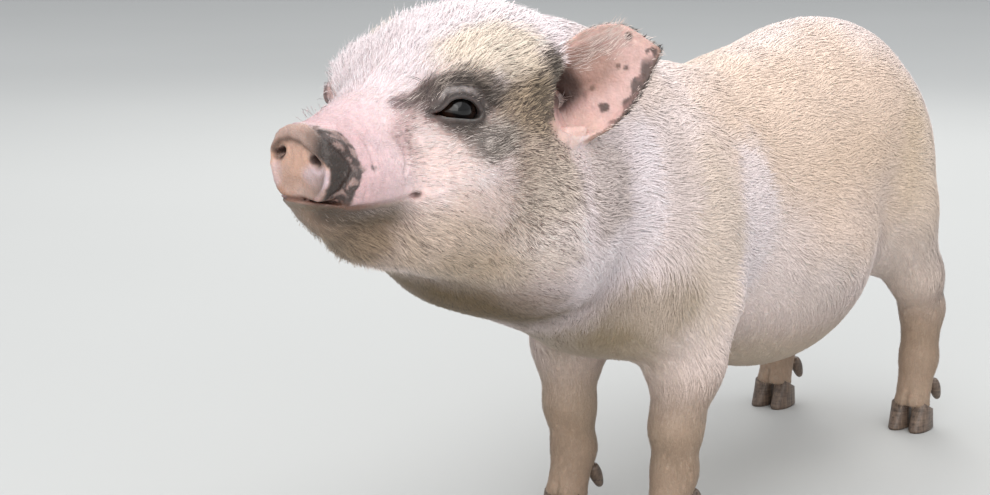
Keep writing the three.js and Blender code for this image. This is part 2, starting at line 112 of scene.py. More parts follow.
# ---------- the field: negative inside, in millimetres ----------
def ball(centre, radii, pitch=0):
    """An ellipsoid, whose pitch in degrees lifts its rear end, with its box."""
    c, s = math.cos(math.radians(pitch)), math.sin(math.radians(pitch))
    rx, ry, rz = radii

    def depth(x, y, z):
        dx, oy, oz = x - centre[0], y - centre[1], z - centre[2]
        dy, dz = c * oy + s * oz, c * oz - s * oy
        near = np.sqrt((dx / rx) ** 2 + (dy / ry) ** 2 + (dz / rz) ** 2)
        slope = np.sqrt((dx / rx**2) ** 2 + (dy / ry**2) ** 2 + (dz / rz**2) ** 2)
        return near * (near - 1) / np.maximum(slope, 1e-5)

    reach = np.array([rx, abs(c) * ry + abs(s) * rz, abs(s) * ry + abs(c) * rz])
    return depth, np.array(centre) - reach, np.array(centre) + reach


def bone(a, b, ra, rb):
    """A tapered length of limb between two points, round at both ends, with its box."""
    a, b = np.array(a, float), np.array(b, float)
    d = b - a

    def depth(x, y, z):
        t = np.clip(((x - a[0]) * d[0] + (y - a[1]) * d[1] + (z - a[2]) * d[2]) / (d @ d), 0, 1)
        away = (x - a[0] - t * d[0]) ** 2 + (y - a[1] - t * d[1]) ** 2 + (z - a[2] - t * d[2]) ** 2
        return np.sqrt(away) - (ra + (rb - ra) * t)

    return depth, np.minimum(a - ra, b - rb), np.maximum(a + ra, b + rb)


def joined(a, b, width):
    """Both forms, with a fillet of this width between them."""
    overlap = np.maximum(width - np.abs(a - b), 0) / width
    return np.minimum(a, b) - overlap * overlap * width / 4


def carved(a, b, width):
    """What is left of a outside b."""
    return -joined(-a, b, width)


def hump(v, width):
    """1 where v is 0, falling smoothly to 0 on both sides."""
    return np.exp(-((v / width) ** 2))


def window(x, y, z, low, high):
    """The part of a grid, or of a list of points, that lies in a box."""
    if x.ndim == 3:
        spans = zip((x, y, z), low, high)
        cut = tuple(slice(*np.searchsorted(lines.ravel(), (a, b))) for lines, a, b in spans)
        return cut, x[cut[0]], y[:, cut[1]], z[:, :, cut[2]]
    keep = (x > low[0]) & (x < high[0]) & (y > low[1]) & (y < high[1]) & (z > low[2]) & (z < high[2])
    return keep, x[keep], y[keep], z[keep]


layers = []  # (low corner, high corner, change of depth), in the order they apply


def layer(low, high, change, both=False):
    """Adds a change of the depth inside a box, or inside the box and its mirror image."""
    low, high = np.array(low, float), np.array(high, float)
    if both:
        low[0] = -high[0]
    layers.append((low, high, change))


def skin_depth(x, y, z):
    """The depth below the skin, which is negative inside, on a grid or at points."""
    depth = np.full(np.broadcast(x, y, z).shape, 60, F)
    for low, high, change in layers:
        where, px, py, pz = window(x, y, z, low, high)
        if px.size and py.size and pz.size:
            depth[where] = change(depth[where], px, py, pz)
    return depth


def stride(x, z):
    """How far back the right foreleg stands, which grows towards its foot."""
    return np.where(x < 0, RIGHT_FOOT_BACK * np.clip((120 - z) / 90, 0, 1), 0)


def mass(shape, width, both=False, slant=False):
    """Adds a shape to the body, on both sides or aslant like the forelegs where asked."""
    depth, low, high = shape
    margin = 1.2 * width + 7

    def change(d, x, y, z):
        side = np.abs(x) if both else x
        return joined(d, depth(side, y - stride(x, z) if slant else y, z), width)

    layer(low - margin, high + margin + (0, RIGHT_FOOT_BACK if slant else 0, 0), change, both)


for shape, width in [
    (ball((0, 32, 168), (59, 95, 73)), 1),  # chest
    (ball((0, 146, 140), (66, 104, 78), -3), 30),  # belly
    (ball((0, 140, 190), (55, 130, 60), 4), 25),  # back
    (ball((0, 224, 196), (56, 82, 63)), 30),  # rump
    (ball((0, 4, 206), (36, 62, 42)), 25),  # withers
    (ball((0, -18, 134), (38, 46, 34)), 20),  # breast
    (ball((0, -58, 193), (52, 72, 74), -14), 25),  # neck
    (ball((0, -84, 228), (36, 54, 48)), 20),  # nape
    (ball((0, -126, 240), (42, 54, 44)), 16),  # skull
    (ball((0, -158, 246), (33, 38, 33)), 14),  # forehead
    (ball((0, -106, 184), (41, 60, 46)), 18),  # throat
    (bone((0, -166, 238), (0, MUZZLE_Y + 9, DISC_HEIGHT + 1), 30, 17.8), 14),  # muzzle
    (ball((0, -222, 222), (19, 34, 17)), 8),  # end of the muzzle
    (bone((0, -156, 192), (0, -231, 202.5), 26.5, 9.5), 10),  # lower jaw
    (ball((0, -208, 188.5), (12.5, 15, 7.5), -16), 10),  # chin
    (ball((-1.5, -233, 203.3), (12.5, 8, 5.8)), 4),  # lower lip
]:
    mass(shape, width)
for shape, width in [
    (ball((30, -4, 160), (30, 44, 64)), 16),  # shoulder
    (ball((30, 256, 158), (32, 46, 60)), 20),  # haunch
    (ball((26, -112, 186), (29, 46, 42)), 18),  # side of the throat
    (ball((22, -156, 200), (24, 48, 29)), 22),  # jowl
    (ball((29, -156, 220), (19, 38, 24)), 16),  # cheek
    (ball((23, -174, 256), (14, 20, 10), 14), 12),  # brow
    (ball((27, -182, 243), (12, 15, 11.5)), 7),  # round the eye
    (ball((13, -219, 216), (13.5, 26, 13)), 9),  # upper lip
    (bone((42, 258, 138), SHANK, 24, 16.8), 14),  # thigh
    (bone(SHANK, HOCK, 16.8, 13.8), 12),  # shank
    (bone(HOCK, HIND_PASTERN, 13.8, 12), 8),  # hind cannon
    (bone(HIND_PASTERN, (HIND_STANCE, 276, 16), 12, 11.4), 6),  # hind foot
]:
    mass(shape, width, both=True)
for shape, width in [
    (bone((37, 14, 128), FOREARM, 25, 19.5), 14),  # upper arm
    (bone(FOREARM, KNEE, 19.5, 13.6), 10),  # forearm
    (bone(KNEE, FORE_PASTERN, 13.6, 12.2), 8),  # fore cannon
    (bone(FORE_PASTERN, (FORE_STANCE, -7, 16), 12.2, 11.6), 6),  # fore foot
]:
    mass(shape, width, both=True, slant=True)

# The skin lies inside the solids by the coat's depth: next to none at the snout, most on the body.
COAT_Y = [-240, -205, -165, -100, -40]
COAT_DEPTH = [0.2, 0.3, 0.9, 1.6, 2.2]


def sink(depth, x, y, z):
    legs = np.where(y > LEGS_BEGIN_Y, np.interp(z, [60, 115], [0.5, 1]), 1)
    return depth + np.interp(y, COAT_Y, COAT_DEPTH).astype(F) * legs.astype(F)


layer((-90, -260, 0), (90, 340, 300), sink)


def swell(centre, radii, height):
    """A soft bump on both sides, or a soft hollow where height is negative."""
    centre, radii = np.array(centre, float), np.array(radii, float)

    def change(d, x, y, z):
        q = ((np.abs(x) - centre[0]) / radii[0]) ** 2 + ((y - centre[1]) / radii[1]) ** 2
        return d - height * np.exp(-q - ((z - centre[2]) / radii[2]) ** 2)

    layer(centre - 2.4 * radii, centre + 2.4 * radii, change, both=True)


def crease(points, depth, width, both=True):
    """A groove along a line of points, which fades at both ends, with a low fold on each side."""
    points = np.array(points, float)
    runs = np.linalg.norm(np.diff(points, axis=0), axis=1)
    starts = np.concatenate([[0], np.cumsum(runs)])

    def change(d, x, y, z):
        side = np.abs(x) if both else x
        best = np.full(d.shape, 1e6, F)
        along = np.zeros(d.shape, F)
        for a, b, run, start in zip(points[:-1], points[1:], runs, starts):
            v = (b - a) / run
            t = np.clip((side - a[0]) * v[0] + (y - a[1]) * v[1] + (z - a[2]) * v[2], 0, run)
            away = (side - a[0] - t * v[0]) ** 2 + (y - a[1] - t * v[1]) ** 2 + (z - a[2] - t * v[2]) ** 2
            nearer = away < best
            best = np.where(nearer, away, best)
            along = np.where(nearer, start + t, along)
        fade = np.clip(4 * np.minimum(along, starts[-1] - along) / starts[-1], 0, 1)
        q = best / width**2
        return d + depth * fade * (np.exp(-q) - 0.35 * np.exp(-q / 6))

    margin = 5 * width
    layer(points.min(0) - margin, points.max(0) + margin, change, both)


# Forms that the coat hides in the solids.
for centre, radii, height in [
    ((50, -6, 176), (14, 30, 44), 1.4),  # shoulder blade
    ((58, 44, 120), (10, 20, 24), -1.6),  # hollow behind the elbow
    ((58, 206, 150), (12, 20, 34), -1.4),  # flank
    ((46, -74, 176), (12, 16, 44), -2.2),  # between jowl and neck
    ((48, -46, 180), (12, 14, 50), 1.4),  # roll of the neck
    ((44, -128, 176), (14, 24, 22), 1.6),  # jowl
    ((50, -150, 226), (10, 22, 14), -1.0),  # temple
    ((14, -196, 250), (8, 14, 8), -0.8),  # beside the bridge of the nose
    ((0, -150, 276), (10, 30, 10), -0.8),  # middle of the forehead
    ((24, -214, 204), (8, 12, 6), 1.0),  # corner of the lips
    ((28, -200, 222), (9, 14, 9), -0.9),  # in front of the cheek
    ((24, -221, 222), (7, 10, 9), 0.9),  # whisker pad
    ((58, 262, 110), (8, 14, 16), -1.2),  # above the hock
    ((42, 296, 80), (7, 6, 12), 1.2),  # point of the hock
    ((34, -13, 66), (9, 6, 9), 1.0),  # knee
]:
    swell(centre, radii, height)


# ---------- tail ----------
def between(a, b, t, start, end):
    """The point for t on a line that is at a for start and at b for end."""
    return a + (b - a) * (t - start) / (end - start)


def spline(points, steps):
    """Points along a centripetal Catmull-Rom curve."""
    p = np.array(points, float)
    p = np.vstack([2 * p[0] - p[1], p, 2 * p[-1] - p[-2]])
    made = []
    for n in range(len(p) - 3):
        gaps = np.sqrt(np.linalg.norm(np.diff(p[n : n + 4], axis=0), axis=1))
        knots = np.concatenate([[0], np.cumsum(gaps)])
        t = np.linspace(knots[1], knots[2], steps, endpoint=False)[:, None]
        lines = [between(p[n + k], p[n + k + 1], t, knots[k], knots[k + 1]) for k in range(3)]
        bends = [between(lines[k], lines[k + 1], t, knots[k], knots[k + 2]) for k in range(2)]
        made.append(between(*bends, t, knots[1], knots[2]))
    return np.vstack(made + [p[-2:-1]])


tail_line = spline(TAIL_PATH, 4)
tail_share = np.linspace(0, 1, len(tail_line))
tail_radius = TAIL_THICK + (TAIL_THIN - TAIL_THICK) * tail_share**0.8
for n in range(len(tail_line) - 1):
    mass(bone(tail_line[n], tail_line[n + 1], tail_radius[n], tail_radius[n + 1]), 5 if n < 3 else 1)

# ---------- ears ----------
ear_axis = unit(EAR_AXIS)
ear_faces = unit(EAR_FACES)
ear_across = unit(np.cross(ear_faces, ear_axis))
FRONT_EDGE = spline([(-4, 10, 0), (8, 17.5, 0), (24, 21.5, 0), (39, 17.5, 0), (EAR_LENGTH, 1, 0)], 16)
REAR_EDGE = spline([(-7, -12, 0), (2, -22.8, 0), (15, -24.2, 0), (33, -16.5, 0), (EAR_LENGTH, -1, 0)], 16)
EAR_STEP = 0.5
EAR_A = np.arange(-20, 62, EAR_STEP)
EAR_S = np.arange(-36, 34, EAR_STEP)


def ear_height(a, s):
    """Height of the ear's middle surface over the plane of its axis: a ribbed cup, deepest at the root."""
    u = np.linspace(0, 1, len(FRONT_EDGE))
    share = np.clip(a / EAR_LENGTH, 0, 1)
    for _ in range(30):
        front = [np.interp(share, u, FRONT_EDGE[:, k]) for k in (0, 1)]
        rear = [np.interp(share, u, REAR_EDGE[:, k]) for k in (0, 1)]
        v = np.clip((s - rear[1]) / np.maximum(front[1] - rear[1], 0.5), 0, 1)
        share = np.clip(share + 0.5 * (a - (rear[0] + (front[0] - rear[0]) * v)) / EAR_LENGTH, 0, 1)
    cup = EAR_CUP_DEPTH * (1 - share) ** 1.3 + 3 * (1 - share)
    ribs = hump(a - 12, 12) * np.clip(4 * v * (1 - v), 0, 1)
    return -cup * np.maximum(4 * v * (1 - v), 0) ** 0.85 + 0.8 * ribs * np.sin(v * 22 + a * 0.05)


def ear_rim(a, s):
    """Distance in from the ear's rim, negative outside it."""
    outline = np.vstack([FRONT_EDGE[:, :2], REAR_EDGE[::-1, :2]])
    outline = np.vstack([outline[:1] - (25, 4), outline, outline[-1:] - (25, -6)])
    rim = np.full(a.shape, 1e6)
    inside = np.zeros(a.shape, bool)
    for p, q in zip(outline, np.roll(outline, -1, axis=0)):
        d = q - p
        t = np.clip(((a - p[0]) * d[0] + (s - p[1]) * d[1]) / (d @ d), 0, 1)
        rim = np.minimum(rim, np.hypot(a - p[0] - t * d[0], s - p[1] - t * d[1]))
        spans = (p[1] > s) != (q[1] > s)
        inside ^= spans & (a < p[0] + (s - p[1]) * d[0] / (d[1] if d[1] else 1e-9))
    return np.where(inside, rim, -rim)


def ear_tables():
    """Height, distance in from the rim and steepness of the ear, over the plane of its axis."""
    a, s = np.meshgrid(EAR_A, EAR_S, indexing="ij")
    height = ear_height(a, s)
    slopes = np.gradient(height, EAR_STEP)
    steep = np.sqrt(1 + np.minimum(slopes[0] ** 2 + slopes[1] ** 2, 9))
    return height.astype(F), ear_rim(a, s).astype(F), steep.astype(F)


EAR_TABLES = ear_tables()


def own_frame(x, y, z, origin, axes):
    """Distances from an origin on the pig's left, or from its mirror image, along each of some axes."""
    d = (np.abs(x) - origin[0], y - origin[1], z - origin[2])
    return [d[0] * v[0] + d[1] * v[1] + d[2] * v[2] for v in axes]


def ear_place(x, y, z):
    """Distances along the ear's axis, across it, and out of its open face."""
    return own_frame(x, y, z, EAR_ROOT, (ear_axis, ear_across, ear_faces))


def looked_up(table, a, s):
    i = np.clip((a - EAR_A[0]) / EAR_STEP, 0, len(EAR_A) - 1.001)
    j = np.clip((s - EAR_S[0]) / EAR_STEP, 0, len(EAR_S) - 1.001)
    i0, j0 = i.astype(int), j.astype(int)
    i, j = i - i0, j - j0
    low = table[i0, j0] * (1 - j) + table[i0, j0 + 1] * j
    return low * (1 - i) + (table[i0 + 1, j0] * (1 - j) + table[i0 + 1, j0 + 1] * j) * i


def ear_point(a, s, f):
    return EAR_ROOT + ear_axis * a + ear_across * s + ear_faces * f


def ear_hollow(a, b, ra, rb):
    """Hollows the temple between two points of the ear's frame."""
    hollow, low, high = bone(ear_point(*a), ear_point(*b), ra, rb)

    def change(d, x, y, z):
        return carved(d, hollow(np.abs(x), y, z), 3)

    layer(low - 8, high + 8, change, both=True)


def ear_roll(points, ra, rb):
    """A rolled edge along points of the ear's frame."""
    for a, b in zip(points[:-1], points[1:]):
        mass(bone(ear_point(*a), ear_point(*b), ra, rb), 3, both=True)


EAR_LOBE = [
    (5.5, -22.4, 0.5), (-0.8, -20.8, 8), (-4.4, -17, 14.5), (-7, -9.5, 19.5),
    (-5.5, -2, 18.5), (-1, 7, 14), (6, 14.5, 6),
]
ear_hollow((5, -11, 17), (9, -10, -3), 10.5, 9)
ear_hollow((7, 3, 13), (10, 4, -8), 8, 8)
ear_roll(EAR_LOBE, 2.0, 2.0)
ear_roll([(-1, -16, 9), (6, -19, 2), (13, -17, -4)], 2.2, 1.8)


def ear(depth, x, y, z):
    a, s, f = ear_place(x, y, z)
    middle, rim, steep = (looked_up(t, a, s) for t in EAR_TABLES)
    thick = np.interp(rim, [0, 3, 12], [2.2, 2.4, 2.9]) * np.interp(a, [0, 50], [1.1, 0.95])
    sheet = np.abs(f - middle) / steep - thick / 2
    depth = joined(depth, carved(sheet, rim - 0.1, 1.3), 3.5)
    bowl = np.maximum(np.maximum(middle + thick / 2 - f, f - 3), np.maximum(3.5 - rim, -1 - a))
    canal = np.sqrt((a + 2) ** 2 + (s + 3) ** 2 + (f + 13) ** 2) - 5
    return carved(carved(depth, bowl, 2.5), canal, 3)


layer((20, -142, 212), (80, -70, 282), ear, both=True)

# ---------- eyes ----------
eye_out = unit(EYE_FACES)
eye_across = unit(np.cross((0, 0, 1), eye_out))
eye_up = np.cross(eye_out, eye_across)


def smoothed(points, values):
    """A curve through points with its corners rounded, and how steep it is."""
    at = np.arange(-16, 12, 0.1)
    weights = np.hanning(23)
    heights = np.pad(np.interp(at, points, values), 11, mode="edge")
    heights = np.convolve(heights, weights / weights.sum(), "valid")
    return at, heights, np.sqrt(1 + np.gradient(heights, 0.1) ** 2)


UPPER_EDGE, LOWER_EDGE = smoothed(*UPPER_LID), smoothed(*LOWER_LID)


def eye_place(x, y, z):
    """Distances across the eye, up, out of its face, and outside each lid's edge, negative in the opening."""
    across, up, out = own_frame(x, y, z, EYE_CENTRE, (eye_across, eye_up, eye_out))
    above = (up - np.interp(across, *UPPER_EDGE[:2])) / np.interp(across, UPPER_EDGE[0], UPPER_EDGE[2])
    below = (np.interp(across, *LOWER_EDGE[:2]) - up) / np.interp(across, LOWER_EDGE[0], LOWER_EDGE[2])
    return across, up, out, above, below


# Distance from the lid's edge, depth and width.
UPPER_WRINKLES = [(3.6, 0.95, 0.75), (5.9, 0.6, 0.7), (8.4, 0.8, 1.1)]
LOWER_WRINKLES = [(3.0, 0.6, 0.6), (5.2, 0.5, 0.7), (7.8, 0.4, 0.9)]


def lids(depth, x, y, z):
    across, up, out, above, below = eye_place(x, y, z)
    away = np.sqrt(across**2 + up**2 + out**2)
    depth = joined(depth, away - EYE_RADIUS - LID_THICKNESS, 3.5)
    near = np.exp(-(((across + 1) / 10.5) ** 4)) * np.clip((out - 1) / 3, 0, 1)
    edge = np.maximum(above, below)
    depth = depth - 0.5 * near * hump(edge - 0.9, 0.9)
    for lid, bend, phase, wrinkles in ((above, 0.55, 1, UPPER_WRINKLES), (below, 0.5, 2, LOWER_WRINKLES)):
        for distance, deep, width in wrinkles:
            wave = 0.5 * np.sin(across * bend + phase * distance)
            depth = depth + deep * near * hump(lid - distance - wave, width)
    opening = np.maximum(edge, 2 - out)
    return np.maximum(carved(depth, opening, 1.3), EYE_RADIUS + 0.12 - away)


layer(EYE_CENTRE - 22, EYE_CENTRE + 22, lids, both=True)


# ---------- snout ----------
def disc_place(x, y):
    """Distances across the snout's face and out along it, in its own turned frame."""
    c, s = math.cos(DISC_TURN), math.sin(DISC_TURN)
    dx, dy = x - DISC_PIVOT[0], y - DISC_PIVOT[1]
    return c * dx - s * dy, s * dx + c * dy + DISC_PIVOT[1]


def turned(points):
    """Points of the snout's own frame in the pig's frame."""
    c, s = math.cos(DISC_TURN), math.sin(DISC_TURN)
    made = []
    for x, y, z in points:
        dy = y - DISC_PIVOT[1]
        made.append((c * x + s * dy + DISC_PIVOT[0], c * dy - s * x + DISC_PIVOT[1], z))
    return made


def disc_away(lx, z):
    """1 on the disc's outline, 0 at its middle."""
    across, up = lx / DISC_HALF_WIDTH, (z - DISC_HEIGHT) / DISC_HALF_HEIGHT
    return (np.abs(across) ** 2.4 + np.abs(up) ** 2.4) ** (1 / 2.4)


def trim(depth, x, y, z):
    """Cuts the muzzle off where the disc begins."""
    ly = disc_place(x, y)[1]
    return carved(depth, np.maximum(ly - MUZZLE_Y - 1, DISC_BOTTOM - z), 1)


# Heights of the fold under the rolled top of the rim, at distances across the disc.
FOLD = ([-19, -15, -11, -5, 2, 7.3, 12, 16.7, 19], [228, 232, 235, 236.3, 235.2, 232.8, 230.8, 228, 224.5])


def fold_height(lx):
    return np.interp(lx, *FOLD)


def disc(depth, x, y, z):
    lx, ly = disc_place(x, y)
    away = disc_away(lx, z)
    dish = np.clip((fold_height(lx) + 1.2 - z) / 3.6, 0, 1) * np.clip((0.97 - away) / 0.2, 0, 1)
    face = MUZZLE_Y - DISC_THICKNESS + 2.2 * dish * dish * (3 - 2 * dish) - 0.9 * hump(away, 0.35)
    face = face + 0.6 * np.exp(-((lx / 2.5) ** 2) - (((z - 212) / 6) ** 2))  # groove below the nostrils
    rim, front = (away - 1) * DISC_HALF_HEIGHT, face - ly
    turn = np.arctan2(z - DISC_HEIGHT, lx)
    rays = np.sin(24 * turn + 2 * np.sin(5 * turn) + 0.4 * ly) * np.clip((ly + 249) / 3, 0, 1)
    rim = np.maximum(rim + 0.2 * rays, DISC_BOTTOM + 0.05 * lx - z)
    corner = np.hypot(*(np.maximum(d + DISC_ROUNDING, 0) for d in (rim, front))) - DISC_ROUNDING
    plate = np.maximum(corner + np.minimum(np.maximum(rim, front) + DISC_ROUNDING, 0), ly - MUZZLE_Y - 4)
    return joined(depth, plate, 2)


NOSTRIL_TOP, NOSTRIL_TAIL = np.array((9, -250, 230.4)), np.array((13, -247, 227.4))
NOSTRIL_SHIFT = 2.2  # both lie this far to the right of the face's middle


def nostril(depth, x, y, z):
    lx, ly = disc_place(x, y)
    rim = 16.5 * (disc_away(lx, z) - 0.93)
    lx = np.abs(lx + NOSTRIL_SHIFT) - 0.3 * np.maximum(ly + 248, 0)  # runs outwards as it goes in
    d = NOSTRIL_TAIL - NOSTRIL_TOP
    t = np.clip(((lx - NOSTRIL_TOP[0]) * d[0] + (z - NOSTRIL_TOP[2]) * d[2]) / (d[0] ** 2 + d[2] ** 2), 0, 1)
    away = np.hypot(lx - NOSTRIL_TOP[0] - t * d[0], z - NOSTRIL_TOP[2] - t * d[2])
    slit = np.maximum(away - (1.9 - 0.5 * t) + 0.25 * np.maximum(ly + 247, 0), rim)
    return carved(depth - 0.45 * hump(away - 4.2, 1.1), slit, 1.4)


def mouth_line(y):
    """Height of the line between the lips."""
    return 211 + 0.07 * (y - MOUTH_CORNER[1]) + 3 * np.clip((-239 - y) / 6, 0, 1)


def mouth_corner(x, y, z):
    """Distance from the corner of the mouth, drawn out along the lips."""
    dx, dy, dz = np.abs(x) - MOUTH_CORNER[0], y - MOUTH_CORNER[1], z - MOUTH_CORNER[2]
    return np.sqrt(dx**2 + (0.6 * dy) ** 2 + (1.5 * dz) ** 2)


def mouth(depth, x, y, z):
    line = mouth_line(y) + 0.6 * np.sin((y + 207) * 0.16)
    reach = np.interp(y, [-262, -236, -226, -209, -204], [0.8, 0.8, 0.6, 0.5, 0])
    depth = depth + 0.9 * hump(mouth_corner(x, y, z), 2)
    return depth + reach * (hump(z - line, 0.95) - 0.22 * hump(z - line, 3.2))


layer((-42, -262, 200), (42, MUZZLE_Y + 9, 260), trim)
layer((-32, -262, 200), (32, MUZZLE_Y + 12, 252), disc)
layer((-28, -262, 214), (28, -232, 240), nostril)
layer((-42, -262, 196), (42, -198, 222), mouth)


def snout_crease(points, depth, width):
    """A groove on each side of the snout, from places on its left, in its own frame."""
    for side in (1, -1):
        crease(turned([(side * px, py, pz) for px, py, pz in points]), depth, width, both=False)


# The back edge of the snout's ring: distances across, along and up on one side, in its own frame.
RING_BACK = [
    (0, -244.6, 242.3), (6.9, -245.8, 241), (11.4, -246, 239.4), (15.5, -245.4, 237),
    (17.3, -243, 234.1), (18.5, -240, 230.7), (19.7, -237.5, 227.4), (19.6, -236.5, 224.2),
    (19.8, -238.6, 220.8), (17.6, -240.8, 216.6), (15.1, -244.2, 213.9), (11.2, -245.2, 211.2),
]
RING_WRINKLE = [
    (0, -236.5, 243), (9, -236.5, 242), (16, -236.5, 237.5),
    (20, -236, 229), (20, -235, 219), (16, -235.5, 210),
]
# Grooves round the snout, in its own frame, from the top down to the lip on either side.
for points, depth, width in [
    (RING_BACK, 1.5, 0.95),
    (RING_WRINKLE, 0.8, 0.9),
    ([(0, -232.5, 244), (9, -232.5, 243), (17, -232.5, 238.5), (21.5, -232, 232)], 1.0, 0.85),
    ([(21, -232.5, 235), (24, -232, 226), (23.5, -231.5, 217), (20, -232, 210)], 1.1, 0.85),
    ([(2, -228.5, 245), (9, -228.5, 244.5), (17, -228, 240)], 0.8, 0.9),
    ([(19, -229, 238), (24, -227.5, 231), (26.5, -227.5, 222), (25, -228, 214)], 0.8, 0.8),
    ([(4, -224, 245), (12, -223, 243)], 0.5, 1.0),
]:
    snout_crease(points, depth, width)

MUZZLE_FOLD = [
    (10.9, -233.5, 240.7), (14.2, -231.3, 238.3), (17.3, -229.5, 234.7),
    (20.7, -229.3, 229.3), (23.5, -230.4, 223.6), (24.9, -230.8, 218.9),
]
CHEEK_FOLD = [
    (16, -217, 241), (18.9, -215.8, 237.9), (21.1, -212.1, 233.5), (22.6, -210.1, 229.3),
    (24.3, -211, 224.6), (25.7, -214.9, 220), (26.5, -213, 214),
]
for points, depth, width in [
    # across the muzzle's side
    (MUZZLE_FOLD, 1.3, 0.8),
    ([(9, -229, 243), (15.4, -225, 240.2), (19, -224, 236), (21.5, -224, 230)], 0.7, 0.9),
    (CHEEK_FOLD, 1.7, 1.2),
    # lips and chin
    ([(26, -207, 211.5), (28.5, -202, 208), (29, -197, 203)], 0.9, 1.2),
    ([(19, -232, 206), (22, -220, 203), (26, -208, 202)], 0.4, 1.1),
    # from the corner of the eye
    ([(31, -197, 244), (29, -202, 240), (27.5, -207, 235)], 0.8, 0.9),
    ([(33, -195, 238), (31.5, -200, 233), (30, -205, 227)], 0.5, 1.0),
    ([(42, -176, 244), (46, -169, 241), (48, -162, 236)], 0.5, 1.1),
    ([(22, -190, 259), (28, -181, 264), (33, -170, 265), (36, -160, 262)], 0.8, 1.5),
    # cheek, throat and neck
    ([(47, -150, 206), (50, -140, 196), (49, -132, 184)], 0.7, 2.6),
    ([(48, -100, 238), (53, -92, 216), (53, -88, 190), (46, -88, 164)], 1.3, 3.2),
    ([(44, -72, 244), (52, -66, 218), (54, -62, 186), (47, -62, 152)], 1.1, 3.6),
    ([(46, -40, 236), (54, -34, 206), (56, -32, 170)], 0.8, 4),
    # elbow, flank and stifle
    ([(58, 34, 150), (60, 40, 126), (54, 42, 106), (44, 40, 94)], 1.6, 3.4),
    ([(60, 216, 168), (60, 222, 144), (56, 230, 118), (48, 236, 100)], 1.5, 3.4),
    ([(52, 58, 112), (56, 66, 118), (60, 78, 124)], 0.8, 3),
    # hock, knee and pasterns
    ([(38, 271, 82), (48, 269, 80), (58, 272, 82)], 0.8, 1.8),
    ([(38, 274, 72), (48, 271, 70), (58, 275, 72)], 0.6, 1.6),
    ([(24, -9, 56), (34, -12, 54), (44, -9, 56)], 0.6, 1.6),
    ([(24, 10, 34), (33, 12, 32), (42, 10, 34)], 0.6, 1.6),
    ([(38, 294, 34), (48, 296, 32), (58, 294, 34)], 0.6, 1.6),
]:
    crease(points, depth, width)


# ---------- coronets ----------
def foot_y(x, y):
    fore = np.where(x < 0, FORE_FOOT_Y + RIGHT_FOOT_BACK, FORE_FOOT_Y)
    return np.where(y > BETWEEN_LEGS_Y, HIND_FOOT_Y, fore)


def stance_at(y):
    """Distance of the nearer feet from the body's middle."""
    return np.where(y > BETWEEN_LEGS_Y, HIND_STANCE, FORE_STANCE)


def coronet(depth, x, y, z):
    """Ends the skin above the claws, with a bulge over them and a cleft between them."""
    cleft = hump(np.abs(x) - stance_at(y), 1.5) * np.clip((30 - z) / 12, 0, 1)
    level = CORONET_HEIGHT + 0.3 - CORONET_SLOPE * (y - foot_y(x, y))
    bulge = 0.7 * hump(z - level - 3, 2.5)
    return carved(depth + 2.2 * cleft - bulge, z - level, 2)


layer((-90, -60, 0), (90, 340, 36), coronet)


# ---------- the skin's surface ----------
def grid_lines(*runs):
    """Grid lines over runs of a first and last place and a step."""
    made = []
    for a, b, step in runs:
        made.append(np.linspace(a, b, max(round((b - a) / (step * COARSE)), 1), endpoint=False))
    return np.concatenate(made + [[b]]).astype(F)


def grid_points(lines, cells):
    """The low corners of cells of the grid."""
    return np.stack([lines[k][cells[:, k]] for k in range(3)], 1)


def crossings(field, lines, cells):
    """The mean of the points where the surface crosses the edges of each cell."""
    total, hits = np.zeros((len(cells), 3)), np.zeros(len(cells))
    for axis in range(3):
        b, c = (axis + 1) % 3, (axis + 2) % 3
        for ob, oc in itertools.product((0, 1), repeat=2):
            start = cells.copy()
            start[:, b] += ob
            start[:, c] += oc
            end = start.copy()
            end[:, axis] += 1
            va, vb = field[tuple(start.T)], field[tuple(end.T)]
            crossed = (va < 0) != (vb < 0)
            t = np.where(crossed, va / np.where(crossed, va - vb, 1), 0)
            point = grid_points(lines, start).astype(float)
            point[:, axis] += t * (lines[axis][end[:, axis]] - lines[axis][start[:, axis]])
            total += np.where(crossed[:, None], point, 0)
            hits += crossed
    return total / hits[:, None]


def surface_net(field, lines):
    """One vertex in each cell that the surface crosses, and a quad round each grid edge that it crosses."""
    inside = field < 0
    shape = np.array(inside.shape) - 1
    count = np.zeros(shape, np.int8)
    for i, j, k in itertools.product((0, 1), repeat=3):
        count += inside[i : shape[0] + i, j : shape[1] + j, k : shape[2] + k]
    cells = np.argwhere((count > 0) & (count < 8))
    number = np.full(shape, -1, np.int32)
    number[tuple(cells.T)] = np.arange(len(cells))
    quads = []
    for axis in range(3):
        b, c = (axis + 1) % 3, (axis + 2) % 3
        first = np.moveaxis(inside, axis, 0)
        changed = np.argwhere(first[:-1] != first[1:])
        outward = first[:-1][tuple(changed.T)]
        edges = np.empty_like(changed)
        edges[:, [axis] + [k for k in range(3) if k != axis]] = changed
        corners = []
        for ob, oc in [(-1, -1), (0, -1), (0, 0), (-1, 0)]:
            cell = edges.copy()
            cell[:, b] += ob
            cell[:, c] += oc
            corners.append(number[tuple(np.clip(cell, 0, shape - 1).T)])
        quad = np.stack(corners, 1)
        quad[~outward] = quad[~outward][:, ::-1]
        quads.append(quad[(quad >= 0).all(1)])
    return crossings(field, lines, cells), np.vstack(quads), cells


def slope_at(p, h=0.35):
    """Depth of points below the skin, and the outward direction there."""
    x, y, z = p.astype(F).T
    depth = skin_depth(x, y, z)
    ahead = [skin_depth(x + h, y, z), skin_depth(x, y + h, z), skin_depth(x, y, z + h)]
    return depth, np.stack([(d - depth) / h for d in ahead], 1)


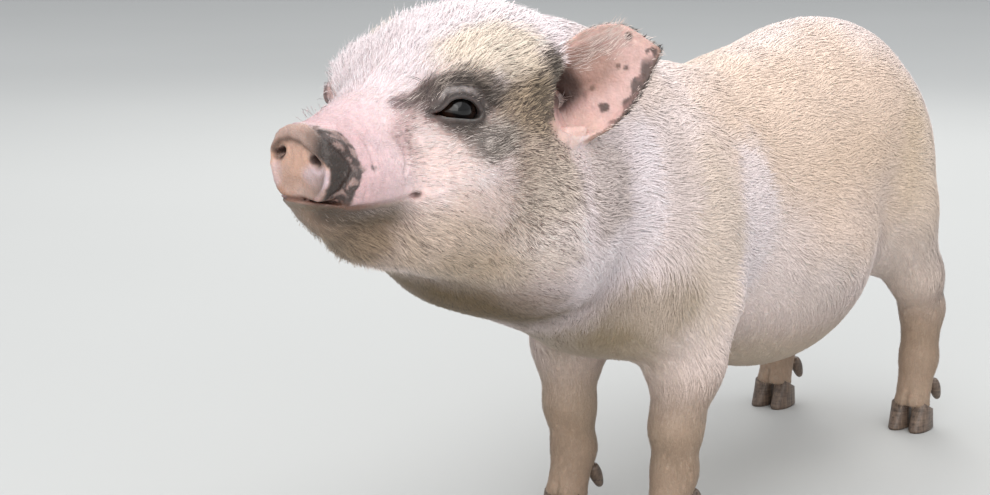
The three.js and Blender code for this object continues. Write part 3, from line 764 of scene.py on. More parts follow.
GRID_X = [(-80, 80, 0.85)]
GRID_Y = [(-256, -224, 0.7), (-224, -164, 0.85), (-164, -142, 1.2), (-142, -80, 0.95), (-80, 334, 3)]
GRID_Z = [(3, 16, 1.4), (16, 110, 2.6), (110, 178, 2.1), (178, 202, 1.5), (202, 252, 0.75), (252, 290, 1.0)]


def skin_mesh():
    """The skin's points, quads and normals, each point moved onto the surface inside its own cell."""
    lines = [grid_lines(*runs) for runs in (GRID_X, GRID_Y, GRID_Z)]
    field = skin_depth(lines[0][:, None, None], lines[1][None, :, None], lines[2][None, None, :])
    points, quads, cells = surface_net(field, lines)
    low, high = grid_points(lines, cells), grid_points(lines, cells + 1)
    inset = 0.02 * (high - low)
    for _ in range(2):
        depth, slope = slope_at(points)
        step = depth / np.maximum((slope**2).sum(1), 0.3)
        points = np.clip(points - step[:, None] * slope, low + inset, high - inset)
    return points, quads, unit_rows(slope_at(points)[1])


# ---------- markings ----------
def rgb(code):
    """Linear red, green and blue of a screen colour."""
    s = np.array([int(code[k : k + 2], 16) for k in (0, 2, 4)]) / 255
    return np.where(s <= 0.04045, s / 12.92, ((s + 0.055) / 1.055) ** 2.4)


def ripple(p, size, seed):
    """Smooth noise between about -1 and 1, made of bent waves that are size apart."""
    draw = np.random.default_rng(seed)
    total = np.zeros(len(p))
    for _ in range(8):
        v = unit(draw.normal(size=3)) * 2 * math.pi / (size * draw.uniform(0.6, 1.6))
        total += np.sin(p @ v + draw.uniform(0, 6.3) + 0.6 * total)
    return total / 4


def faded(distance, soft):
    """1 inside a border and 0 outside it, with a soft step between them."""
    t = np.clip(0.5 - distance / soft, 0, 1)
    return t * t * (3 - 2 * t)


def oval(u, v, centre, radii, soft, wobble=0):
    """1 inside an oval on a surface and 0 outside it."""
    away = np.hypot((u - centre[0]) / radii[0], (v - centre[1]) / radii[1])
    return faded(away - 1 + wobble, soft)


def blended(a, b, share):
    return a + (b - a) * np.asarray(share)[..., None]


def painted(colour, *coats):
    """A colour under further coats, each a colour code and its share."""
    for code, share in coats:
        colour = blended(colour, rgb(code), share)
    return colour


def plain(code, p):
    return np.tile(rgb(code), (len(p), 1))


def mirrored(p):
    """Points moved to the left side."""
    return np.stack([np.abs(p[:, 0]), p[:, 1], p[:, 2]], 1)


WHITE, CREAM, SANDY, STRAW = "fbeef1", "f3e6da", "efd4ba", "fbe8d0"
GREY, DUN, CHARCOAL = "b5aaa0", "9c8b69", "3a3330"
PINK, PALE, TAN = "efc5bd", "f9e2df", "dcb59d"
SLATE, LILAC, DARK = "9a8a82", "e8cdc5", "40352f"
# Shaded olive is partly the pig's own olive-brown under the throat and partly painted shade and green bounce
# light on the underside.
# Shaded shin is the legs' own tan, darkened partly by painted shade.
SHADED_OLIVE, SHADED_SHIN = "665022", "8a6f5a"

# Centre, radii, softness, hair colour and share, skin colour and share, share of dark hairs.
MARKS = [
    ((40, 122, 212), (72, 128, 44), 0.9, SANDY, 0.8, TAN, 0.4, 0.02),  # back
    ((62, 160, 168), (30, 80, 36), 0.9, SANDY, 0.6, TAN, 0.35, 0.02),  # side
    ((62, 112, 124), (26, 36, 20), 0.9, GREY, 0.35, SLATE, 0.3, 0.05),  # below the ribs
    # Belly: tan, partly the pig's own colour and partly painted shade on the underside.
    ((0, 120, 66), (80, 120, 30), 0.9, "c9bba6", 0.6, TAN, 0.4, 0.0),  # belly
    ((60, 244, 170), (24, 34, 50), 0.9, "dcc6a2", 0.5, TAN, 0.3, 0.03),  # haunch
    ((62, 34, 168), (26, 22, 60), 0.7, WHITE, 0.7, PALE, 0.6, 0.0),  # strip behind the shoulder
    ((60, -8, 162), (24, 22, 46), 0.8, "dccbb6", 0.65, TAN, 0.4, 0.02),  # shoulder
    ((56, -36, 186), (22, 13, 44), 0.8, GREY, 0.25, SLATE, 0.2, 0.03),  # before the shoulder
    ((20, -60, 246), (34, 46, 22), 0.7, SANDY, 0.4, TAN, 0.3, 0.04),  # nape
    ((54, -66, 192), (18, 11, 50), 0.7, WHITE, 0.9, PALE, 0.9, 0.0),  # collar
    ((52, -98, 204), (16, 19, 36), 0.8, DUN, 0.42, SLATE, 0.4, 0.1),  # neck
    # Breast, under the jaw and throat: darker and olive, partly the pig's own colour and partly painted shade
    # and green bounce light on the underside.
    ((30, -42, 136), (40, 30, 20), 0.9, "a8967a", 0.7, SHADED_OLIVE, 0.5, 0.05),  # breast
    ((28, -158, 173), (26, 46, 13), 1.2, "c4b28c", 0.6, SHADED_OLIVE, 0.5, 0.12),  # under the jaw
    ((0, -136, 150), (46, 66, 22), 1.2, SHADED_OLIVE, 0.95, SHADED_OLIVE, 0.95, 0.1),  # throat
    ((30, -190, 188), (28, 34, 20), 0.9, "e2cbb2", 0.8, "9a8064", 0.7, 0.14),  # jaw
    ((0, -226, 194), (27, 30, 19), 1.0, "cdb497", 1.0, "7d6348", 1.0, 0.2),  # chin
    ((36, -194, 225), (17, 18, 15), 0.9, CREAM, 0.4, TAN, 0.25, 0.24),  # below the eye
    # Foot of the neck: partly the pig's own pale band and partly painted light on a side that faces down.
    ((50, -94, 164), (18, 32, 17), 0.9, WHITE, 0.9, PALE, 0.9, 0.0),  # foot of the neck
    # Between the forelegs: partly the pig's own colour and partly painted shade on the underside.
    ((18, -62, 112), (30, 48, 22), 1.0, "948260", 0.75, SHADED_OLIVE, 0.7, 0.08),  # between the forelegs
    ((52, 262, 124), (30, 40, 34), 0.8, "c8b7a8", 0.6, SLATE, 0.4, 0.0),  # thigh
    ((44, -184, 206), (12, 18, 8), 0.9, "dfc9bc", 0.5, TAN, 0.4, 0.1),  # edge of the jaw
    ((46, -148, 224), (20, 28, 34), 0.8, "c3ac8c", 0.75, DARK, 0.6, 0.4),  # temple
]
# The patch round the eye, with what borders on it.
MASK = [
    ((48, -144, 198), (20, 24, 20), 0.9, CREAM, 0.5, TAN, 0.4, 0.25),  # jowl
    ((44, -150, 243), (16, 20, 13), 0.8, "b19a7c", 0.8, DARK, 0.75, 0.5),  # behind the eye
    ((44, -134, 250), (12, 14, 16), 0.8, "a8967c", 0.7, DARK, 0.7, 0.6),  # before the ear
    ((30, -160, 264), (17, 32, 12), 0.8, STRAW, 0.85, STRAW, 0.5, 0.04),  # straw brow
    ((36, -184, 246), (19, 18, 13), 0.8, CREAM, 0.4, DARK, 0.8, 0.42),  # rim of the patch
    ((36, -184, 245), (12.5, 13, 10), 0.5, "b3a598", 0.75, DARK, 1.0, 0.6),  # lids
    ((43, -178, 232), (14, 15, 9), 0.8, "c4b8ae", 0.75, DARK, 1.0, 0.55),  # under the eye
    ((0, -180, 262), (15, 40, 16), 0.6, WHITE, 0.9, PALE, 0.8, 0.0),  # blaze
]
BROW = (
    (16, -206, 249), (24, -200, 251), (31, -192, 253.5), (37, -184, 254), (43, -175, 251), (46, -169, 244),
)
BROW_TOP = ((20, -198, 249.5), (27, -192, 254.5), (33, -184.5, 256.5), (37.5, -176, 254.5), (39, -169, 248))
CHEEK_EDGE = ((25, -200, 246), (20.5, -206, 241), (20.5, -209, 236), (22, -208.5, 230))
TEAR_LINE = ((21, -203, 246.5), (31, -197, 245))
EYE_REAR = ((47, -166, 240), (47, -168, 232), (44, -178, 226))
EAR_FRONT = ((35, -128, 266), (39, -128, 257), (40, -129, 250))
# Lines of points and the radius round them, then as above.
STREAKS = [
    (BROW, 4.4, 0.7, "b5a595", 0.6, DARK, 1.0, 0.75),
    (CHEEK_EDGE, 5.5, 1.6, CREAM, 0.4, DARK, 0.5, 0.6),
    (BROW_TOP, 3.8, 0.8, "8f8072", 0.65, DARK, 1.0, 0.8),
    (TEAR_LINE, 3.4, 0.9, "a3968a", 0.6, DARK, 0.95, 0.7),
    (EYE_REAR, 4.4, 1.0, "c9bcb0", 0.5, DARK, 0.95, 0.5),
    (EAR_FRONT, 3.8, 0.9, "7b7468", 0.9, DARK, 0.9, 0.85),
]


def streak_distance(p, points):
    """Distance from a line of points, on either side of the pig."""
    q = mirrored(p)
    best = np.full(len(p), 1e3)
    for a, b in zip(np.array(points[:-1], float), np.array(points[1:], float)):
        t = np.clip((q - a) @ (b - a) / ((b - a) @ (b - a)), 0, 1)
        best = np.minimum(best, np.linalg.norm(q - a - t[:, None] * (b - a), axis=1))
    return best


def mark_distance(p, place, radii):
    """Distance from a mark's middle, 1 on its outline, and the mark's size."""
    if isinstance(place[0], tuple):
        return streak_distance(p, place) / radii, 2 * radii
    q = (mirrored(p) - place) / radii
    return np.sqrt(q[:, 0] ** 2 + q[:, 1] ** 2 + q[:, 2] ** 2), sum(radii) / 3


def marks(p):
    """Hair colour, skin colour and the share of dark hairs at points of the skin."""
    belly = faded(p[:, 2] - 118 + 8 * ripple(p, 60, 3), 50)
    body = faded(-p[:, 1] - 60, 60)
    # Legs darker and browner towards the ground: partly their own tan and partly painted shade.
    legs = faded(p[:, 2] - 97, 72)
    skin = painted(plain(PINK, p), (LILAC, 0.5 * belly), (PALE, 0.55 * body), (SHADED_SHIN, 0.8 * legs))
    hair = painted(plain(WHITE, p), ("f9e7df", 0.8 * body), ("9c846c", 0.95 * legs))
    dark = np.zeros(len(p))
    for n, (place, radii, soft, *tints, dark_share) in enumerate(MARKS + MASK + STREAKS):
        hair_code, hair_share, skin_code, skin_share = tints
        away, size = mark_distance(p, place, radii)
        away = away + 0.16 * ripple(p, size * 1.5, 40 + n) + 0.07 * ripple(p, size * 0.5, 80 + n)
        if n >= len(MARKS):  # smaller on the right
            away = away + 2.5 * (p[:, 0] < 0) * faded(p[:, 1] + 177 + 7 * ripple(p, 22, 33), 28)
        share = faded(away - 1, soft)
        hair = painted(hair, (hair_code, share * hair_share))
        skin = painted(skin, (skin_code, share * skin_share))
        dark = dark + (dark_share - dark) * share
    return hair, skin, dark


def ear_part(p):
    """Share of the ear and of its open side, places along and across it, and distance in from its rim."""
    a, s, f = ear_place(*p.T)
    middle, rim, steep = (looked_up(t, a, s) for t in EAR_TABLES)
    near = (p[:, 1] > -142) & (p[:, 1] < -70) & (p[:, 2] > 212)
    on = near * faded(np.abs(f - middle) / steep - 3.2, 2) * faded(-rim - 1, 2) * faded(1 - a, 6)
    bowl = near & (rim > 1.5) & (f < 3) & (a > -8) & (a < 60) & (f > -26)
    inner = np.where(bowl, faded(middle - f - 0.3, 1), 0)
    edge = np.array(EAR_LOBE)[:, 1:]
    below_lobe = f < np.interp(s, edge[:, 0], edge[:, 1]) - 1
    well = (f > middle - 1) & below_lobe & (a > -16) & (a < 20) & (s > -25) & (s < 15)
    return on, np.maximum(inner, near & well), a, s, rim


def lobe_distance(p):
    return streak_distance(p, [ear_point(*point) for point in EAR_LOBE[:4]])


# Ends of the crust at heights of the snout, in its own frame, and the left edge of its face.
CRUST_ENDS = (
    [210, 214.5, 220.5, 224, 228, 232, 235.6, 239, 241],
    [-237, -236.3, -234.3, -230.6, -233.2, -232.3, -232.9, -236, -243],
)
FACE_LEFT_EDGE = ([208, 214, 217, 221, 227, 231, 236], [14.5, 15.6, 17, 20, 19.5, 16, 12])
MOLES = [((24, -231, 225), 1.6), ((11, -212.5, 249), 0.7), ((8, -233, 244), 0.6)]


def snout_paint(skin, p):
    """A taupe ring, charcoal on its left, with a peach face in it and grey crust behind it, and the lips."""
    x, y, z = p.T
    lx, ly = disc_place(x, y)
    away, fold = disc_away(lx, z), fold_height(lx)
    ring = np.array(RING_BACK)[::-1]
    back = np.interp(z, ring[:, 2], ring[:, 1])
    snout = faded(ly - back + 0.3 * ripple(p, 9, 7), 1)
    rough = ripple(p, 7, 9) + 0.6 * ripple(p, 3, 19)
    crust = faded(ly - np.interp(z, *CRUST_ENDS) + 0.8 * ripple(p, 5, 26), 1.2)
    crust = crust * faded(6 - lx, 4) * faded(208.5 - z, 2)
    left_edge = np.interp(z, *FACE_LEFT_EDGE)
    face = faded(ly + 247.2 - np.clip(z - 214, 0, 8) * 0.05, 1.6) * faded(away - 1.02, 0.1)
    face = face * faded(z - fold - 0.6, 2.2) * faded(lx - left_edge + 0.7 * ripple(p, 6, 8), 1.8)
    low = face * faded(z - 221 + 1.2 * ripple(p, 10, 12), 6)
    grey = np.interp(lx, [0, 6, 11, 15], [0, 0.2, 0.6, 1]) * (1 - face)
    # Darker along the groove behind the ring, most on the left: painted shade in the crease.
    groove = hump(ly - back, 0.7) * faded(209 - z, 2)
    # A dark band under the rolled top of the rim: partly pigment and partly painted shade under the rim.
    pigment_and_shade_band = snout * faded(ly + 243, 3) * hump(z - fold + 0.4, 1.5) * faded(np.abs(lx) - 17, 2)
    # A brown strip under the snout's lower edge: painted shade between the snout and the lower lip.
    below = faded(z - 209.8 + 0.6 * ripple(p, 6, 15), 2) * faded(ly + 238, 3) * faded(206.5 - z, 1.5)
    # Near-black inside the nostrils: painted shade in the holes.
    hole = np.hypot(np.abs(lx + NOSTRIL_SHIFT) - 11, 1.2 * (z - 228.9))
    jaw = faded(z - 209.5, 2) * faded(y + 212, 16)
    # A dark line along the mouth and a dark spot at its corner: painted shade between the lips and in the
    # corner's pit.
    lip = hump(z - mouth_line(y), 1.3) * faded(y + 206, 4)
    corner = mouth_corner(x, y, z) - 1.7 + 0.8 * ripple(p, 4, 14)
    skin = painted(
        skin,
        ("c1a2a5", 0.9 * faded(y + 205, 40)),  # muzzle
        ("857068", 0.85 * crust),
        ("362c29", 0.9 * crust * faded(0.15 - rough - np.clip(226 - z, 0, 8) * 0.06, 0.5)),
        ("c9a8a0", 0.6 * crust * faded(rough - 0.75, -0.3) * (z < 222)),
        ("b5998c", 0.9 * snout),
        ("6f6058", 0.8 * snout * faded(12.5 + lx + ripple(p, 6, 17), 4) * faded(away - 1, -0.3)),
        ("cda591", 0.95 * face),
        ("9c7a68", 0.92 * low),
        ("cfbcc4", 0.85 * face * oval(lx, z, (12, 221.5), (9.5, 5), 0.8)),
        ("b39a98", 0.7 * face * oval(lx, z, (8, 214.5), (9, 3), 0.8)),
        ("c8b4b8", 0.6 * face * oval(lx, z, (-15, 221), (3, 6), 0.8)),
        ("302926", 0.96 * snout * grey * faded(208.5 - z, 2)),
        ("3a2c28", groove * np.interp(lx, [-14, -8, 2, 8, 13], [0.5, 0.25, 0.15, 0.5, 0.95])),
        ("4a3a33", 0.8 * pigment_and_shade_band),
        ("5a4034", 0.75 * below),
        ("301c19", 0.9 * faded(hole - 3.0, 1.6) * faded(ly + 240, 2) * faded(-ly - 248.4, 1)),
        ("6f5d48", 0.9 * jaw),
        # Darker patch below the lips: partly the chin's own dark brown and partly painted shade under the
        # snout.
        ("43362b", 0.85 * jaw * oval(lx, z, (13, 204.5), (11, 5), 0.8)),
        ("66473a", lip * np.interp(y, [-236, -222], [0.95, 0.3])),
        ("43302a", 0.9 * faded(corner, 1.8)),
    )
    for at, size in MOLES:
        skin = painted(skin, (CHARCOAL, 0.85 * faded(np.linalg.norm(p - at, axis=1) - size, 0.8)))
    return skin


def lid_paint(skin, dark, p):
    """Dark lids with a thin pale line below, a greyer fold above, and a dark inner corner."""
    across, up, out, above, below = eye_place(*p.T)
    near = faded(np.hypot(across, up) - 17, 6) * (out > -3)
    lid = np.maximum(above, below)
    socket = np.where(p[:, 0] < 0, 0.3, 0.85) * oval(across, up, (-1, 1), (14, 11), 0.5) * (out > -3)
    skin = painted(
        skin,
        ("4b423f", socket),
        ("a69d9b", 0.85 * near * faded(np.abs(above - 4.2) - 1.0, 1.4) * faded(np.abs(across + 1) - 8, 4)),
        # A dark line in the fold above the upper lid: painted shade in the crease.
        ("2a2220", 0.85 * near * faded(np.abs(above - 2.0) - 0.6, 1) * (below < 0)),
        ("4d4543", 0.85 * near * faded(np.abs(lid - 0.4) - 0.8, 0.8)),
        ("6f746f", 0.7 * near * faded(np.abs(below - 0.3) - 0.15, 0.5) * (above < 0)),
        ("241917", 0.95 * (near * faded(lid + 0.5, 0.8))),
        ("3b2620", 0.9 * (faded(np.hypot((across + 11) / 1.6, up + 2) - 1.3, 1.2) * (out > -3))),
    )
    skin = skin * (1 + 0.12 * near * ripple(p, 2.4, 27))[:, None]
    return skin, np.maximum(dark, 0.9 * near * faded(np.maximum(above - 6, below - 3), 1))


# Grey spots in the ear: place along it, place across it, radius.
SPOTS = [
    (18, -14.4, 2.3), (31, 0.2, 1.1), (33.5, -1.6, 1.2), (16.3, -4.5, 1.1),
    (16.7, -1.2, 0.7), (40, 11.2, 1.6), (48.5, 0.9, 2.4), (45.5, 1.6, 1.0),
]


def ear_paint(hair, skin, dark, p):
    """Pink ears with grey spots and a grey rear rim, a hollow darkened by painted shade and a greyer back."""
    on, inner, a, s, rim = ear_part(p)
    tip = faded(a - 34, 14)
    rear = faded(s + 2 - 0.1 * (50 - a), 6) * faded(17 - a, 6)
    front = faded(rim - 5, 3) * faded(4 - s, 8)
    blotch = np.interp(a, [16, 24, 36, 46, 52], [1.2, 2.0, 6.5, 4.5, 3.5]) + 1.6 * ripple(p, 7, 21)
    tint = painted(
        plain("d6b5af", p),
        ("d8aea0", faded(14 - s, 8) * tip),
        ("a08a80", 0.45 * faded(6 - s * 0.4, 8) * tip),
        ("463c39", 0.88 * faded(rim - blotch, 1.2) * rear),
        ("cfa29a", 0.5 * np.clip(ripple(p, 11, 24) * 0.5 + 0.3, 0, 1)),
        ("dfbdb3", 0.85 * oval(a, s, (3, -20), (11, 8), 0.7)),
        ("efccc2", 0.75 * front),
    )
    for place, across_ear, size in SPOTS:
        away = np.hypot(a - place, s - across_ear) + 0.35 * size * ripple(p, 5, 22)
        tint = painted(tint, ("3f3532", 0.85 * faded(away - size, 0.9)))
    # Painted shade: a darker mid-tone over the deep bowl and near-black in the hollow at the ear's root.
    tint = painted(
        tint,
        ("9a7666", 0.7 * oval(a, s, (16, 4), (16, 11), 0.9)),
        ("33241f", 0.9 * oval(a, s, (4, 1), (9, 11), 0.9, 0.1 * ripple(p, 8, 23))),
    )
    outer = painted(
        plain("b99486", p),
        ("75665f", np.clip(0.4 + 0.5 * ripple(p, 22, 25), 0, 1)),
        ("e3bdb4", 0.8 * front),
        ("463c39", 0.85 * rear * faded(rim - 3, 2)),
    )
    skin = painted(skin, ("d2a79d", 0.9 * faded(lobe_distance(p) - 3.5, 2)))
    skin = blended(skin, outer, on * (1 - inner))
    skin = blended(skin, tint, np.maximum(on * inner, inner))
    ear_hair = painted(plain("dccdc2", p), ("ead6cc", inner))
    hair = blended(hair, ear_hair, 0.85 * np.maximum(on, inner))
    return hair, skin, dark * (1 - np.maximum(on, inner)) * faded(p[:, 1] + 70, 40)


def colours(p):
    """Hair colour, skin colour and the share of dark hairs, with the snout, lids and ears."""
    hair, skin, dark = marks(p)
    skin = snout_paint(skin, p)
    skin, dark = lid_paint(skin, dark, p)
    hair, skin, dark = ear_paint(hair, skin, dark, p)
    return hair, skin, np.clip(dark, 0, 1)


# ---------- meshes ----------
MATERIALS = {}


def placed(name, points, faces, material, replaces=(), tints=None, floats=None, uv=None, normals=None):
    """A mesh of points in the pig's frame, with its colours, riding on the body."""
    mesh = bpy.data.meshes.new(name)
    points = np.asarray(points, float) + (0, SHIFT_Y, 0)
    faces = np.asarray(faces)
    size = faces.shape[1]
    mesh.vertices.add(len(points))
    mesh.vertices.foreach_set("co", (points / 1000).astype(F).ravel())
    mesh.loops.add(faces.size)
    mesh.loops.foreach_set("vertex_index", faces.astype(np.int32).ravel())
    mesh.polygons.add(len(faces))
    mesh.polygons.foreach_set("loop_start", np.arange(0, faces.size, size, dtype=np.int32))
    mesh.polygons.foreach_set("use_smooth", np.ones(len(faces), bool))
    if tints is not None:
        with_alpha = np.hstack([tints, np.ones((len(tints), 1))])
        tint_layer = mesh.color_attributes.new("tint", "FLOAT_COLOR", "POINT")
        tint_layer.data.foreach_set("color", with_alpha.astype(F).ravel())
    for key, values in (floats or {}).items():
        mesh.attributes.new(key, "FLOAT", "POINT").data.foreach_set("value", np.asarray(values, F))
    if uv is not None:
        mesh.uv_layers.new(name="OFBake").data.foreach_set("uv", uv.astype(F).ravel())
    mesh.update(calc_edges=True)
    mesh.validate()
    if normals is not None:
        mesh.normals_split_custom_set_from_vertices(normals)
    made = bpy.data.objects.new(name, mesh)
    bpy.context.scene.collection.objects.link(made)
    mesh.materials.append(MATERIALS[material])
    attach(made, "root")
    if replaces:
        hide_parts(*replaces)


# ---------- materials ----------
def material(name, **settings):
    """A new material, with a function that adds a node and one that feeds a socket of its shader."""
    made = bpy.data.materials.new(name)
    made.use_nodes = True
    nodes, links = made.node_tree.nodes, made.node_tree.links
    shader = nodes["Principled BSDF"]
    for key, value in settings.items():
        shader.inputs[key.replace("_", " ")].default_value = value
    MATERIALS[name] = made

    def node(kind, inputs=None, **values):
        n = nodes.new(kind)
        for key, value in values.items():
            setattr(n, key, value)
        for key, value in (inputs or {}).items():
            if isinstance(value, bpy.types.NodeSocket):
                links.new(value, n.inputs[key])
            else:
                n.inputs[key].default_value = value
        return n

    def feed(socket, value):
        links.new(value, shader.inputs[socket])

    return node, feed


def carried(node, name, output):
    """A value that the mesh carries at its points."""
    return node("ShaderNodeAttribute", attribute_name=name).outputs[output]


def mottled(node, feed, where, darkest, **noise):
    """The mesh's own tint, made darker and lighter by noise."""
    mottle = node("ShaderNodeTexNoise", {"Vector": where, **noise})
    level = node("ShaderNodeMapRange", {0: mottle.outputs["Fac"], 1: 0.3, 2: 0.7, 3: darkest, 4: 1.1})
    inputs = {0: 1.0, 6: carried(node, "tint", "Color"), 7: level.outputs[0]}
    shade = node("ShaderNodeMix", inputs, data_type="RGBA", blend_type="MULTIPLY")
    feed("Base Color", shade.outputs[2])


def ramped(node, feed, value, stops):
    """The shader's colour, from stops of a place and a colour code."""
    ramp = node("ShaderNodeValToRGB", {"Fac": value})
    for n, (at, code) in enumerate(stops):
        stop = ramp.color_ramp.elements[n] if n < 2 else ramp.color_ramp.elements.new(at)
        stop.position = at
        stop.color = (*rgb(code), 1)
    feed("Base Color", ramp.outputs["Color"])


def skin_material():
    node, feed = material(
        "pig_skin", Subsurface_Weight=0.18, Subsurface_Scale=0.004, Subsurface_Radius=(1.0, 0.35, 0.2),
        Coat_Roughness=0.3,
    )
    where = node("ShaderNodeTexCoord").outputs["Object"]
    mottled(node, feed, where, 0.86, Scale=260, Detail=5, Roughness=0.65)
    wet = carried(node, "wet", "Fac")
    gloss = node("ShaderNodeMapRange", {0: wet, 3: 0.62, 4: 0.36})
    feed("Roughness", gloss.outputs[0])
    pores = node("ShaderNodeTexVoronoi", {"Vector": where, "Scale": 900}, feature="SMOOTH_F1")
    folds = node("ShaderNodeTexNoise", {"Vector": where, "Scale": 420, "Detail": 4, "Distortion": 1.4})
    pebble = node("ShaderNodeTexVoronoi", {"Vector": where, "Scale": 640}, feature="DISTANCE_TO_EDGE")
    damp = node("ShaderNodeMath", {0: pebble.outputs["Distance"], 1: wet}, operation="MULTIPLY")
    relief = node("ShaderNodeMath", {0: pores.outputs["Distance"], 1: folds.outputs["Fac"]}, operation="ADD")
    heights = {0: damp.outputs[0], 1: 2.0, 2: relief.outputs[0]}
    total = node("ShaderNodeMath", heights, operation="MULTIPLY_ADD")
    bump = node("ShaderNodeBump", {"Strength": 0.45, "Distance": 0.0006, "Height": total.outputs[0]})
    feed("Normal", bump.outputs[0])


def coat_material():
    node, feed = material("pig_coat", Roughness=0.6, Sheen_Weight=0.1, Sheen_Roughness=0.4)
    where = node("ShaderNodeTexCoord").outputs["Object"]
    mottled(node, feed, where, 0.88, Scale=900, Detail=2)


# From the pupil over the iris to the white.
EYE_STOPS = [
    (0.0, "020202"), (0.27, "040303"), (0.34, "1d100a"), (0.52, "24140c"),
    (0.6, "0d0706"), (0.72, "4a2a1e"), (1.0, "7d5a4c"),
]


def eye_material():
    node, feed = material(
        "pig_eye", Roughness=0.18, Specular_IOR_Level=0.2, Coat_Weight=0.6, Coat_Roughness=0.02
    )
    where = node("ShaderNodeTexCoord").outputs["Object"]
    gaze = carried(node, "gaze", "Fac")
    rays = node("ShaderNodeTexNoise", {"Vector": where, "Scale": 700, "Detail": 4})
    sway = node("ShaderNodeMath", {0: rays.outputs["Fac"], 1: 0.08, 2: gaze}, operation="MULTIPLY_ADD")
    ramped(node, feed, sway.outputs[0], EYE_STOPS)


def horn_material():
    node, feed = material("pig_horn", Roughness=0.42)
    where = node("ShaderNodeTexCoord").outputs["Object"]
    grain = []
    for scale, detail in (((120, 120, 900), 4), ((900, 900, 90), 3)):  # growth rings, then fibres
        squash = node("ShaderNodeMapping", {"Vector": where, "Scale": scale})
        noise = node("ShaderNodeTexNoise", {"Vector": squash.outputs[0], "Scale": 1, "Detail": detail})
        grain.append(noise.outputs["Fac"])
    both = node("ShaderNodeMath", {0: grain[0], 1: grain[1]}, operation="ADD").outputs[0]
    half = node("ShaderNodeMath", {0: both, 1: 0.5}, operation="MULTIPLY").outputs[0]
    ramped(node, feed, half, [(0.35, "3f342e"), (0.75, "8a7666")])
    bump = node("ShaderNodeBump", {"Strength": 0.5, "Distance": 0.0005, "Height": both})
    feed("Normal", bump.outputs[0])


skin_material()
coat_material()
eye_material()
horn_material()


# ---------- skin ----------
def under_fur(p, dark_share):
    """How much of the short hair's colour the skin takes: none on snout, lids, ears and mouth's corner."""
    x, y, z = p.T
    across, up, out = eye_place(x, y, z)[:3]
    eye = faded(np.hypot(across, up) - 12, 8) * (out > -3)
    fur = faded(-y - 215, 60) * np.interp(y, [-100, -40], [0.65, 0.82]) * (1 - eye)
    fur = fur * np.clip(1 - 1.3 * dark_share, 0, 1)
    return fur * (1 - np.maximum(*ear_part(p)[:2])) * (1 - faded(mouth_corner(x, y, z) - 2.4, 2))


skin_points, skin_quads, skin_normals = skin_mesh()
hair_tint, skin_tint, dark_share = colours(skin_points)
FLESH = ["head", "snout_disc", "neck", "torso", "tail"]
FLESH += [part + "_" + side for part in ("ear", "foreleg", "hindleg") for side in ("left", "right")]
placed(
    "skin", skin_points, skin_quads, "pig_skin", replaces=FLESH,
    tints=blended(skin_tint, hair_tint, under_fur(skin_points, dark_share)),
    floats={"wet": faded(skin_points[:, 1] + 237, 4) * 0.8},
)

# ---------- coat ----------
tail_tangent = np.gradient(tail_line, axis=0)


def along_skin(v, n):
    """The part of v that lies in the skin's plane."""
    return v - (v * n).sum(1)[:, None] * n


def swung(way, n, turn):
    """A way along the skin, turned about the skin's normal."""
    return way * np.cos(turn)[:, None] + np.cross(n, way) * np.sin(turn)[:, None]


def lie(p, n):
    """The way the hair lies, along the skin."""
    side, y, z = np.abs(p[:, 0]), p[:, 1], p[:, 2]
    head = faded(y + 110, 50)
    flow = np.stack([np.zeros(len(p)), np.ones(len(p)), np.full(len(p), -0.12)], 1)
    flow[:, 2] -= 0.35 * faded(z - 215, 40) * head + 0.5 * faded(z - 150, 90) * (1 - head)
    flow[:, 2] += 0.35 * head * faded(238 - z, 16)
    flow[:, 0] += 0.25 * np.sign(p[:, 0]) * head * faded(y + 190, 40)
    chest = faded(y + 20, 50) * faded(z - 165, 50) * (1 - faded(y + 100, 30))
    rump = faded(262 - y, 40) * faded(z - 235, 30)
    legs = np.maximum(faded(z - 112, 40), np.maximum(chest, rump))
    flow = blended(flow, np.array([0, 0.22, -1.0]), legs)
    tail = (y > 296) & (side < 16)
    flow[tail] = tail_tangent[np.argmin(((p[tail][:, None] - tail_line[None]) ** 2).sum(2), axis=1)]
    on, _, _, s, _ = ear_part(p)
    along = ear_axis + ear_across * 0.35 * np.clip(s / 20, -1, 1)[:, None]
    along[:, 0] *= np.where(p[:, 0] < 0, -1, 1)
    flow = unit_rows(along_skin(blended(flow, 0, on) + along * on[:, None], n))
    turn = 0.3 * ripple(p, 34, 31) + 0.16 * ripple(p, 9, 32) + rng.normal(0, 0.13, len(p))
    return swung(flow, n, turn)


# Lengths and tufts for each square millimetre at places along the body.
GROWTH_Y = [-250, -238, -222, -206, -185, -150, -110, -60, 0, 250, 320]
LENGTHS = [1.4, 1.8, 2.2, 3.4, 4.8, 6.5, 8.5, 11, 12, 12, 11]
DENSITIES = [0.04, 0.2, 0.45, 1.2, 2.3, 2.1, 1.5, 1.05, 0.78, 0.68, 0.7]


